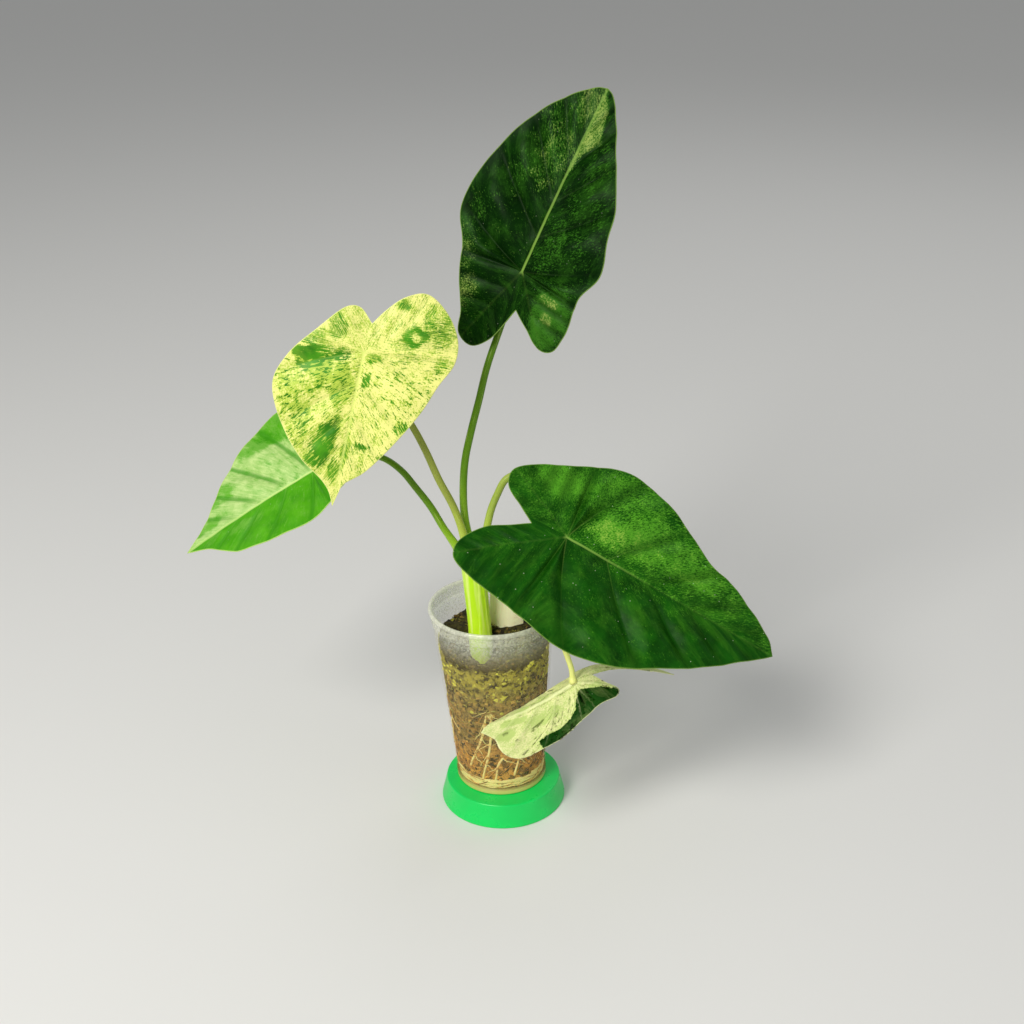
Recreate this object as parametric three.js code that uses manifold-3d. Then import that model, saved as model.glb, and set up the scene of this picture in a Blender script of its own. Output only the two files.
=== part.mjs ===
// Young batik-variegated Alocasia odora: five leaves from one short pseudostem,
// potted in a clear plastic drinking cup that stands on a green plastic base.
// Millimetres, +Z up. The origin is the middle of the base's underside, and the front
// view looks along +Y.
import * as THREE from "three";
import { mergeVertices } from "three/addons/utils/BufferGeometryUtils.js";
import Module from "manifold-3d";

const wasm = await Module();
wasm.setup();

// Driving dimensions
const GAP = 0.3; // running gap kept between neighbouring pieces
const ROUND = 44; // facets round the base, the cup and the filling

const BASE = { height: 18.2, footRadius: 47.6, topRadius: 43.7, fillet: 1.2 };

const CUP = {
  height: 144.5,
  footRadius: 34.4,
  shoulderRadius: 45, // outside, just under the band below the rim
  shoulderHeight: 133,
  rimRadius: 47.5,
  wall: 0.9,
  floor: 3.8, // inside, above the foot
  seat: 0.2, // the foot's clearance over the base's top
  foot: [-1.2, 3.9], // middle of the foot on the base's top
  lean: [-5.2, 3.7], // how far the rim's middle lies from the foot's middle
};

const FILL = { top: 121, lump: 2.6 }; // moss surface above the cup's foot, height of its lumps

const STEM = {
  path: [[-13.5, 5, 101], [-15, 5, 128], [-16.4, 5, 156], [-18.4, 5, 186], [-20, 5, 212]],
  radii: [9.4, 9.2, 8.6, 8.9, 9.8],
  depth: 0.92, // the stem is a little flatter front to back
};

const CORM = { centre: [-13, 5, 92.1], radius: 9, height: 17 };

// Leaves. A stalk's path runs from inside the crown to near the blade, with its radius
// from foot to top. The outline is in the flattened blade, seen on its upper face: x
// runs from the stalk to the tip and y to the blade's left, from the tip round the left
// half to the notch and back along the right half. `towards` is the way the midrib
// leaves the stalk, `facing` the way the upper face looks. `fold` is in degrees.
const LEAVES = [
  {
    name: "top",
    stalk: {
      path: [[-20.3, 10.7, 196], [-22, 10.4, 213], [-24.6, 9.5, 232], [-25.2, 9, 254], [-23.4, 11, 277],
        [-18.7, 14, 298], [-12.7, 18, 320], [-7, 25, 341], [2, 33, 365], [11, 36, 388]],
      radii: [2.9, 2.6, 2.2],
      colour: 0x4f7f10,
    },
    attach: [18, 20, 411],
    towards: [54, 16, 116],
    facing: [-0.4, -0.85, 0.3],
    length: 130, back: 60, halfWidth: 62,
    fold: 16, flare: 0.15, droop: 0.1, lobeDroop: 0.1, sway: 0.02,
    relief: 3.6, lobes: [158, 136],
    colour: 0x1f4a16,
    left: [[131, 0], [113, 24], [87, 44], [50, 58], [20, 60], [0, 48], [-19, 42], [-42, 31], [-58, 26],
      [-62, 15], [-53, 4], [-25, -8]],
    right: [[-25, -8], [-32, -20], [-41, -37], [-38, -47], [-24, -51], [2, -50], [21, -57], [44, -51],
      [62, -47], [100, -26], [122, -11], [131, 0]],
  },
  {
    name: "cream",
    stalk: {
      path: [[-21.3, -0.6, 196], [-23.5, -0.6, 213], [-27, 0, 230], [-32.5, 0, 247], [-41.6, -2, 268],
        [-50, -2, 290], [-58, 1, 306], [-69, 3, 324], [-79, 2, 342], [-86, -6, 357]],
      radii: [2.9, 2.5, 2.1],
      colour: 0x9aa84e,
    },
    attach: [-87, -24, 370],
    towards: [-22, -30, -95],
    facing: [0, -0.95, 0.25],
    length: 105, back: 60, halfWidth: 70,
    fold: 8, flare: 0.2, droop: 0.1, lobeDroop: 0.15, sway: -0.02,
    relief: 1.6, lobes: [128, 116],
    colour: 0xe0e488,
    left: [[106, 0], [97, 2], [90, 4], [79, 16], [54, 33], [30, 46], [12, 53], [-5, 61], [-20, 60], [-36, 50],
      [-46, 34], [-41, 20], [-30, 9], [-20, 2]],
    right: [[-20, 2], [-29, -8], [-28, -16], [-10, -33], [10, -49], [29, -56], [50, -49], [76, -29],
      [90, -10], [97, -4], [106, 0]],
  },
  {
    name: "left",
    stalk: {
      path: [[-24.9, 5.5, 196], [-30, 6.5, 209], [-40.6, 10, 225.6], [-48.9, 12, 240.7], [-59.2, 16, 254],
        [-69.5, 20, 266], [-82, 26, 273], [-98, 32, 274], [-113, 34, 270], [-125, 32, 264]],
      radii: [2.8, 2.4, 2],
      colour: 0x4a7a10,
    },
    attach: [-134, 22, 266],
    towards: [-95, -22, -50],
    facing: [-0.25, -0.55, 0.8],
    length: 110, back: 60, halfWidth: 70,
    fold: 10, flare: 0.12, droop: 0.1, lobeDroop: 0.1, sway: -0.02,
    relief: 2.4, lobes: [150, 138],
    colour: 0x7cbf45,
    left: [[110, 0], [94, 9], [73, 28], [57, 34], [40, 38], [22, 41], [6, 39], [-8, 32], [-22, 25], [-33, 20],
      [-38, 13], [-31, 5], [-17, 0]],
    right: [[-17, 0], [-34, -8], [-50, -20], [-53, -33], [-42, -48], [-18, -60], [6, -62], [23, -57],
      [44, -47], [66, -31], [86, -14], [100, -5], [110, 0]],
  },
  {
    name: "front",
    stalk: {
      path: [[-13.9, 8, 196], [-11.5, 8.4, 212], [-8.6, 9, 226.5], [-5.7, 12, 237.7], [-1.2, 15, 248.2],
        [5.4, 17, 259.5], [15, 18, 263], [27, 10, 260], [38, -6, 250], [45, -22, 239]],
      radii: [2.9, 2.6, 2.3],
      colour: 0x9ab052,
    },
    attach: [47, -38, 240],
    towards: [142, -40, -74],
    facing: [0.05, -0.55, 0.83],
    length: 165, back: 80, halfWidth: 80,
    fold: 10, flare: 0.16, droop: 0.12, lobeDroop: 0.12, sway: 0.06,
    relief: 3.4, lobes: [152, 139],
    colour: 0x1e4c15,
    left: [[167, 0], [160, 9], [145, 19], [113, 34], [97, 38], [74, 52], [50, 64], [20, 71], [0, 64], [-22, 51],
      [-44, 39], [-56, 27], [-53, 14], [-38, 4], [-26, -4]],
    right: [[-26, -4], [-38, -13], [-52, -24], [-63, -44], [-60, -56], [-46, -63], [-11, -70], [27, -77],
      [64, -72], [100, -53], [123, -38], [146, -19], [162, -5], [167, 0]],
  },
  {
    name: "low",
    stalk: {
      path: [[-14.5, 1.1, 196], [-11.5, 0.8, 211], [-6, -0.5, 225], [5, -3, 228], [18, -7, 222],
        [30, -11, 206], [38, -19, 183], [41.5, -30, 161], [45, -44, 150], [50, -55, 145]],
      radii: [2.8, 2.3, 1.9],
      colour: 0xd6dc80,
    },
    attach: [52, -62, 136.5],
    towards: [-56, -14, -36],
    facing: [-0.05, 0.22, -0.97],
    length: 76, back: 60, halfWidth: 45,
    fold: 50, flare: 0.2, droop: 0.28, lobeDroop: -1.05, sway: 0,
    relief: 1.6, lobes: [164, 142],
    colour: 0xc4d68c,
    left: [[72, -4], [58, 9], [44, 20], [25, 30], [5, 33], [-15, 32], [-35, 27], [-52, 20], [-60, 12], [-52, 6],
      [-33, 6], [-13, 1]],
    right: [[-13, 1], [-18, -10], [-23, -18], [-19, -25], [-6, -27], [10, -30], [30, -35], [48, -36],
      [60, -36], [66, -31], [68, -22], [67, -14], [72, -4]],
  },
];

const JOIN = { depth: 2.1, run: 8, back: 2.5 }; // how a stalk's top meets the blade's underside

const BLADE = {
  thickness: 1,
  crease: 6, // how softly the two halves meet along the midrib
  rings: [0.3, 0.58, 0.82, 1],
  samples: 28, // along each half of the outline
};

// Primary veins. Side veins leave the midrib at even steps and lie flatter towards the
// tip. Behind the stalk a rib runs into each lobe and sends side veins outward.
const VEINS = {
  perBlade: 5.2, // side veins along the midrib on each side
  firstSlope: 0.29, // forward run of the first side vein for each millimetre sideways
  addedSlope: 2.2, // what that gains from the stalk to the tip
  bow: 0.0022, // forward curve of the side veins
  rearHeading: 95, // way the side veins of a lobe's rib run, in degrees from the midrib
  rearStep: 16,
  onset: 16, // distance from the midrib over which the furrows deepen
};

// The cupped old sheath. It narrows by `taper`, its corners drop by `shoulder` and its
// top leans forward by `lean`.
const SHEATH = {
  foot: [3.5, 13, 132], width: 25, height: 37, radius: 22, thickness: 0.9, turn: -8,
  taper: 0.32, shoulder: 0.16, lean: 3.5,
};

// Roots that reach the wall: bearing round the cup in degrees where they meet it and
// where they end, with the height of both above the cup's foot
const ROOT_RADIUS = 1.3;
const ROOT_WAVE = 0.05; // how far a root wanders to the side, in radians round the cup
const ROOT_START = { back: 0.35, inset: 8 }; // its last bend before it reaches the wall
const ROOTS = [
  { from: -101, to: -131, high: 72, low: 18 },
  { from: -95, to: -113, high: 74, low: 9 },
  { from: -79, to: -101, high: 40, low: 10 },
  { from: -58, to: -72, high: 66, low: 14 },
  { from: -8, to: 22, high: 70, low: 12 },
  { from: 62, to: 88, high: 60, low: 16 },
  { from: 128, to: 150, high: 74, low: 11 },
  { from: 196, to: 182, high: 64, low: 20 },
];

const rad = THREE.MathUtils.degToRad;
const toPoints = (list) => list.map((p) => new THREE.Vector3(...p));

function finish(colour, roughness, extra = {}) {
  return new THREE.MeshStandardMaterial({ color: colour, roughness, metalness: 0, ...extra });
}

function named(name, geometry, material) {
  const mesh = new THREE.Mesh(geometry, material);
  mesh.name = name;
  return mesh;
}

// A turned body: the profile is [radius, height] from the axis round and back to it
function turned(profile, segments = ROUND) {
  const geometry = new THREE.LatheGeometry(profile.map(([r, h]) => new THREE.Vector2(r, h)), segments);
  return geometry.rotateX(Math.PI / 2);
}

function eachVertex(geometry, change) {
  const position = geometry.attributes.position;
  const point = new THREE.Vector3();
  for (let i = 0; i < position.count; i += 1) {
    change(point.fromBufferAttribute(position, i));
    position.setXYZ(i, point.x, point.y, point.z);
  }
  return geometry;
}

// A tapered tube with closed ends: a straight extrusion bent onto a smooth curve
function stalk(path, radii, { sides = 8, steps = 22, squash = 1, swell = 0 } = {}) {
  const curve = new THREE.CatmullRomCurve3(toPoints(path), false, "centripetal");
  const frames = curve.computeFrenetFrames(steps, false);
  const section = new THREE.Shape();
  section.absarc(0, 0, 1, 0, 2 * Math.PI, false);
  const straight = new THREE.ExtrudeGeometry(section, {
    depth: 1, steps, curveSegments: sides / 2, bevelEnabled: false,
  });
  return eachVertex(straight, (p) => {
    const t = Math.min(Math.max(p.z, 0), 1);
    const k = Math.round(t * steps);
    const along = t * (radii.length - 1);
    const i = Math.min(Math.floor(along), radii.length - 2);
    const radius = THREE.MathUtils.lerp(radii[i], radii[i + 1], along - i) + swell;
    const end = swell * (k === 0 ? -1 : k === steps ? 1 : 0);
    const { x, y } = p;
    p.copy(curve.getPointAt(t))
      .addScaledVector(frames.normals[k], x * radius)
      .addScaledVector(frames.binormals[k], y * radius * squash)
      .addScaledVector(frames.tangents[k], end);
  });
}

function solid(geometry) {
  const bare = geometry.clone();
  bare.deleteAttribute("normal");
  bare.deleteAttribute("uv");
  const merged = mergeVertices(bare, 1e-4);
  return new wasm.Manifold(new wasm.Mesh({
    numProp: 3,
    vertProperties: new Float32Array(merged.attributes.position.array),
    triVerts: new Uint32Array(merged.index.array),
  }));
}

function fromSolid(body) {
  const mesh = body.getMesh();
  const geometry = new THREE.BufferGeometry();
  geometry.setAttribute("position", new THREE.BufferAttribute(mesh.vertProperties, 3));
  geometry.setIndex(new THREE.BufferAttribute(mesh.triVerts, 1));
  geometry.computeVertexNormals();
  return geometry;
}

// The cup leans as a whole while its foot and rim stay level
function leaned(geometry) {
  return eachVertex(geometry, (p) => {
    const share = p.z / CUP.height;
    p.x += CUP.foot[0] + CUP.lean[0] * share;
    p.y += CUP.foot[1] + CUP.lean[1] * share;
    p.z += BASE.height + CUP.seat;
  });
}

const wallRadius = (height) =>
  THREE.MathUtils.lerp(CUP.footRadius, CUP.shoulderRadius, height / CUP.shoulderHeight);
const innerRadius = (height) => wallRadius(height) - CUP.wall;

function makeBase() {
  const { height, footRadius, topRadius, fillet } = BASE;
  return turned([
    [0, 0], [footRadius - 0.5, 0], [footRadius, 0.5],
    [topRadius + 0.2, height - fillet], [topRadius - 0.2, height - 0.3 * fillet],
    [topRadius - fillet, height], [0, height],
  ]);
}

function makeCup() {
  const { height, footRadius: foot, shoulderRadius: neck, rimRadius: rim, wall, floor } = CUP;
  const shoulder = CUP.shoulderHeight;
  return leaned(turned([
    [0, 2.4], [foot - 3.8, 2.4], [foot - 2.8, 0], [foot - 0.7, 0], [foot, 0.8],
    [neck, shoulder], [neck + 0.9, shoulder + 0.8], [neck + 1.1, shoulder + 6],
    [rim - 0.5, height - 4.7], [rim, height - 2.6], [rim - 0.7, height - 0.6], [rim - 1.9, height],
    [rim - 2.8, height - 0.9], [neck + 0.1, shoulder + 5.4], [neck - 0.1, shoulder + 0.8],
    [neck - wall, shoulder - 0.4], [foot - wall, floor], [0, floor],
  ]));
}

// Height of the moss above the filling's mean top, by bearing and distance
function lump(angle, share) {
  return FILL.lump * share * (0.6 * Math.sin(3 * angle + 0.8) + 0.5 * Math.sin(5 * angle - 1.1) * share
    + 0.4 * Math.cos(8 * angle + 2.1));
}

function makeFill() {
  const { top } = FILL;
  const floor = CUP.floor + GAP;
  const rim = innerRadius(top) - GAP;
  const body = turned([
    [0, floor], [innerRadius(floor) - GAP - 1.2, floor], [innerRadius(floor + 1.5) - GAP, floor + 1.5],
    [innerRadius(top - 5) - GAP, top - 5], [rim - 1.5, top - 1],
    [0.72 * rim, top + 2.2], [0.4 * rim, top + 0.6], [0, top],
  ]);
  eachVertex(body, (p) => {
    if (p.z > top - 2) {
      p.z += lump(Math.atan2(p.y, p.x), Math.hypot(p.x, p.y) / rim);
    }
  });
  return leaned(body);
}

function rootPath({ from, to, high, low }) {
  const points = [new THREE.Vector3(...CORM.centre)];
  const steps = 8;
  for (let i = -1; i <= steps; i += 1) {
    const share = Math.max(i, -ROOT_START.back) / steps;
    const height = THREE.MathUtils.lerp(high, low, share);
    const bearing = rad(THREE.MathUtils.lerp(from, to, share)) + ROOT_WAVE * Math.sin(5 * share + from);
    const inset = i < 0 ? ROOT_START.inset : GAP + 1.2 * (1 - share) ** 6;
    const reach = innerRadius(height) - GAP - ROOT_RADIUS - inset;
    const lean = height / CUP.height;
    points.push(new THREE.Vector3(
      CUP.foot[0] + CUP.lean[0] * lean + reach * Math.cos(bearing),
      CUP.foot[1] + CUP.lean[1] * lean + reach * Math.sin(bearing),
      BASE.height + CUP.seat + height,
    ));
  }
  return points.map((p) => p.toArray());
}

function makeRoots(swell) {
  const corm = new THREE.SphereGeometry(1, 12, 8).rotateX(Math.PI / 2);
  corm.scale(CORM.radius + swell, CORM.radius + swell, CORM.height / 2 + swell).translate(...CORM.centre);
  let body = solid(corm);
  for (const root of ROOTS) {
    const radii = [ROOT_RADIUS, ROOT_RADIUS, 0.8 * ROOT_RADIUS];
    body = body.add(solid(stalk(rootPath(root), radii, { sides: 6, steps: 11, swell })));
  }
  return body;
}

function makeStem(swell) {
  return solid(stalk(STEM.path, STEM.radii, { sides: 14, steps: 12, squash: STEM.depth, swell }));
}

// A papery, cupped old sheath that stands in the moss
function makeSheath(swell) {
  const { foot, width, height, radius, thickness, turn, taper, shoulder, lean } = SHEATH;
  const half = Math.asin(width / 2 / radius);
  const band = new THREE.Shape();
  band.absarc(0, 0, radius + thickness / 2 + swell, -half - swell / radius, half + swell / radius, false);
  band.absarc(0, 0, radius - thickness / 2 - swell, half + swell / radius, -half - swell / radius, true);
  const plate = new THREE.ExtrudeGeometry(band, { depth: 1, steps: 6, curveSegments: 4, bevelEnabled: false });
  eachVertex(plate, (p) => {
    const share = p.z;
    const side = Math.atan2(p.y, p.x) / half;
    p.x -= radius + lean * share * share;
    p.y *= 1 - taper * share ** 3;
    p.z = -swell + share * (height + 2 * swell) * (1 - shoulder * side * side * share);
  });
  return plate.rotateZ(rad(-90 + turn)).translate(...foot);
}

// Which side vein a point of the flattened leaf lies on: whole numbers are veins
function veinCount(leaf, x, y) {
  const side = Math.abs(y);
  const { perBlade, firstSlope, addedSlope, bow, rearHeading, rearStep } = VEINS;
  const start = (x - side * firstSlope - bow * side * side) / (1 + (side * addedSlope) / leaf.length);
  if (start >= 0) {
    return (start * perBlade) / leaf.length;
  }
  const lobe = rad(leaf.lobes[y > 0 ? 0 : 1]);
  const outward = rad(rearHeading);
  const along = (heading) => (x * Math.sin(heading) - side * Math.cos(heading)) / Math.sin(heading - lobe);
  const beforeRib = side * Math.cos(lobe) < x * Math.sin(lobe);
  const run = beforeRib ? along(outward) : Math.abs(along(2 * lobe - outward));
  return run >= 0 ? -1 - run / rearStep : start / (-start - run);
}

// The curved blade: where a point of the flattened leaf lies in space, in its own frame
function bladePoint(leaf, x, y) {
  const { length, back, halfWidth } = leaf;
  const fold = rad(leaf.fold);
  const rise = Math.hypot(y, BLADE.crease) - BLADE.crease;
  const away = Math.min(Math.abs(y) / VEINS.onset, 1.6);
  const furrow = -0.5 * leaf.relief * away * Math.cos(2 * Math.PI * veinCount(leaf, x, y));
  const across = y * Math.cos(fold);
  const up = rise * Math.sin(fold) - (leaf.flare * y * y) / halfWidth + furrow;
  const ahead = x > 0;
  const sag = ahead ? (leaf.droop * x * x) / length : (leaf.lobeDroop * x * x) / back;
  const sway = ahead ? (leaf.sway * x * x) / length : 0;
  return new THREE.Vector3(x, across + sway, up - sag);
}

function outline(leaf) {
  const flat = ([x, y]) => new THREE.Vector3(x, y, 0);
  const points = [];
  for (const half of [leaf.left, leaf.right]) {
    const curve = new THREE.CatmullRomCurve3(half.map(flat), false, "centripetal");
    points.push(...curve.getSpacedPoints(BLADE.samples).slice(0, -1));
  }
  return points;
}

function makeBlade(leaf) {
  const edge = outline(leaf);
  const count = edge.length;
  const upper = [bladePoint(leaf, 0, 0)];
  for (const share of BLADE.rings) {
    upper.push(...edge.map((p) => bladePoint(leaf, p.x * share, p.y * share)));
  }
  const faces = [];
  for (let i = 0; i < count; i += 1) {
    const next = (i + 1) % count;
    faces.push([0, 1 + i, 1 + next]);
    for (let ring = 1; ring < BLADE.rings.length; ring += 1) {
      const inner = 1 + (ring - 1) * count;
      const outer = inner + count;
      faces.push([inner + i, outer + i, outer + next], [inner + i, outer + next, inner + next]);
    }
  }
  const sheet = new THREE.BufferGeometry().setFromPoints(upper);
  sheet.setIndex(faces.flat());
  sheet.computeVertexNormals();
  const normal = new THREE.Vector3();
  const lower = upper.map((p, i) => {
    normal.fromBufferAttribute(sheet.attributes.normal, i);
    return p.clone().addScaledVector(normal, -BLADE.thickness);
  });
  const under = upper.length;
  const rimStart = 1 + (BLADE.rings.length - 1) * count;
  const indices = [...faces.flat(), ...faces.flatMap(([a, b, c]) => [under + a, under + c, under + b])];
  for (let i = 0; i < count; i += 1) {
    const a = rimStart + i;
    const b = rimStart + ((i + 1) % count);
    indices.push(a, under + a, under + b, a, under + b, b);
  }
  const geometry = new THREE.BufferGeometry().setFromPoints([...upper, ...lower]);
  geometry.setIndex(indices);
  geometry.computeVertexNormals();
  return geometry;
}

function frameOf(leaf) {
  const midrib = new THREE.Vector3(...leaf.towards).normalize();
  const facing = new THREE.Vector3(...leaf.facing);
  facing.addScaledVector(midrib, -facing.dot(midrib)).normalize();
  return { midrib, facing, left: new THREE.Vector3().crossVectors(facing, midrib) };
}

// The stalk comes up to the blade's underside a little behind the midrib's start
function makeStalk(leaf, swell = 0) {
  const { midrib, facing } = frameOf(leaf);
  const attach = new THREE.Vector3(...leaf.attach);
  const before = attach.clone().addScaledVector(facing, -JOIN.run).addScaledVector(midrib, -JOIN.back);
  const top = attach.clone().addScaledVector(facing, -JOIN.depth);
  const { path, radii } = leaf.stalk;
  return stalk([...path, before.toArray(), top.toArray()], radii, { swell });
}

function placeBlade(leaf) {
  const { midrib, left, facing } = frameOf(leaf);
  const mesh = named(`blade_${leaf.name}`, makeBlade(leaf), finish(leaf.colour, 0.4));
  mesh.quaternion.setFromRotationMatrix(new THREE.Matrix4().makeBasis(midrib, left, facing));
  mesh.position.set(...leaf.attach);
  return mesh;
}

const plant = new THREE.Group();

const holder = new THREE.Group();
holder.add(named("base", makeBase(), finish(0x00c850, 0.25)));
holder.add(named("cup", makeCup(), finish(0xd8d6cc, 0.3, { transparent: true, opacity: 0.4 })));
plant.add(holder);

let filling = solid(makeFill());
for (const body of [makeStem(GAP), makeRoots(GAP), solid(makeSheath(GAP))]) {
  filling = filling.subtract(body);
}
plant.add(named("moss_fill", fromSolid(filling), finish(0x4a3a1c, 0.95)));

plant.add(named("roots", fromSolid(makeRoots(0).subtract(makeStem(GAP))), finish(0xdcc878, 0.6)));

const stem = LEAVES.reduce((body, leaf) => body.subtract(solid(makeStalk(leaf, GAP))), makeStem(0));
plant.add(named("pseudostem", fromSolid(stem), finish(0xb4e61a, 0.45)));

const foliage = new THREE.Group();
for (const leaf of LEAVES) {
  foliage.add(named(`petiole_${leaf.name}`, makeStalk(leaf), finish(leaf.stalk.colour, 0.45)));
  foliage.add(placeBlade(leaf));
}
plant.add(foliage);

plant.add(named("old_sheath", makeSheath(0), finish(0xe8e0c0, 0.8)));

export default plant;
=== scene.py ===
"""A young batik-variegated alocasia, potted in a frosted drinking cup on a green base.

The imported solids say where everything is. Each operator below puts finer pieces of the
same form in their place. Tables hold millimetres, meshes are in metres.
"""

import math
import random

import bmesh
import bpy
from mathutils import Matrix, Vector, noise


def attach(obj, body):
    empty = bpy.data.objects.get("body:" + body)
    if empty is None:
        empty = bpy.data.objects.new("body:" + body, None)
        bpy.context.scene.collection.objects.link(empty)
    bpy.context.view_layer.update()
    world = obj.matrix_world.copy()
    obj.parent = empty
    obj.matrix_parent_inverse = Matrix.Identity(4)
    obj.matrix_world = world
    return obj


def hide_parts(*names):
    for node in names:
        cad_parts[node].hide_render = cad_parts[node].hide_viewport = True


bl_info = {
    "name": "Potted batik alocasia",
    "version": (1, 0, 0),
    "blender": (4, 5, 0),
    "location": "View3D > Sidebar > Alocasia",
    "description": "Builds a batik-variegated alocasia in a frosted cup, leaf by leaf",
    "category": "Add Mesh",
}

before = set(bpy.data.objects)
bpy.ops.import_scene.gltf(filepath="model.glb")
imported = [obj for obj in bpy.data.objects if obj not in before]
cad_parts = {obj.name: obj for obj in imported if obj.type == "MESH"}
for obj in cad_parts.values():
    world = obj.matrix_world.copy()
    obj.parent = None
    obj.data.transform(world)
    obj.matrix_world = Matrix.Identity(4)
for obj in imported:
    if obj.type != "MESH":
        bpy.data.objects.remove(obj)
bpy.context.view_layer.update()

MM = 0.001
TURN = 2 * math.pi

BASE = {"height": 18.2, "foot_radius": 47.6, "top_radius": 43.7, "fillet": 1.2}

CUP = {
    "height": 144.5, "foot_radius": 34.4, "shoulder_radius": 45, "shoulder_height": 133,
    "rim_radius": 47.5, "wall": 0.9, "floor": 3.8, "seat": 0.2,
    "foot": (-1.2, 3.9), "lean": (-5.2, 3.7),
}

FILL = {"top": 121, "gap": 0.3, "lump": 2.6, "front_drop": 7, "hollow": 18, "hollow_at": (-9.5, -17, 19)}

STEM = {
    "path": [(-13.5, 5, 101), (-15, 5, 128), (-16.4, 5, 156), (-18.4, 5, 186), (-20, 5, 212)],
    "radii": [9.4, 9.2, 8.6, 8.9, 9.8],
    "squash": 0.92,
}

CORM = {"centre": (-13, 5, 92.1), "radius": 9, "height": 17}

ROOT_RADIUS = 1.3
ROOTS = [  # bearings round the cup in degrees, heights above its foot
    {"from": -101, "to": -131, "high": 72, "low": 18},
    {"from": -95, "to": -113, "high": 74, "low": 9},
    {"from": -79, "to": -101, "high": 40, "low": 10},
    {"from": -58, "to": -72, "high": 66, "low": 14},
    {"from": -8, "to": 22, "high": 70, "low": 12},
    {"from": 62, "to": 88, "high": 60, "low": 16},
    {"from": 128, "to": 150, "high": 74, "low": 11},
    {"from": 196, "to": 182, "high": 64, "low": 20},
]

SHEATH = {
    "foot": (3.5, 13, 132), "width": 26, "height": 37, "radius": 22, "turn": -8, "taper": 0.02, "shoulder": 0.1,
    "lean": 3.5,
}

# How the side veins run over a flattened blade, and how a stalk meets its underside
VEINS = {
    "per_blade": 5.2, "first_slope": 0.29, "added_slope": 2.2, "bow": 0.0022,
    "rear_heading": 95, "rear_step": 16, "onset": 16,
}
CREASE = 6
THICKNESS = 0.45
JOIN = {"depth": 2.1, "bend": (2.5, 8)}

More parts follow.
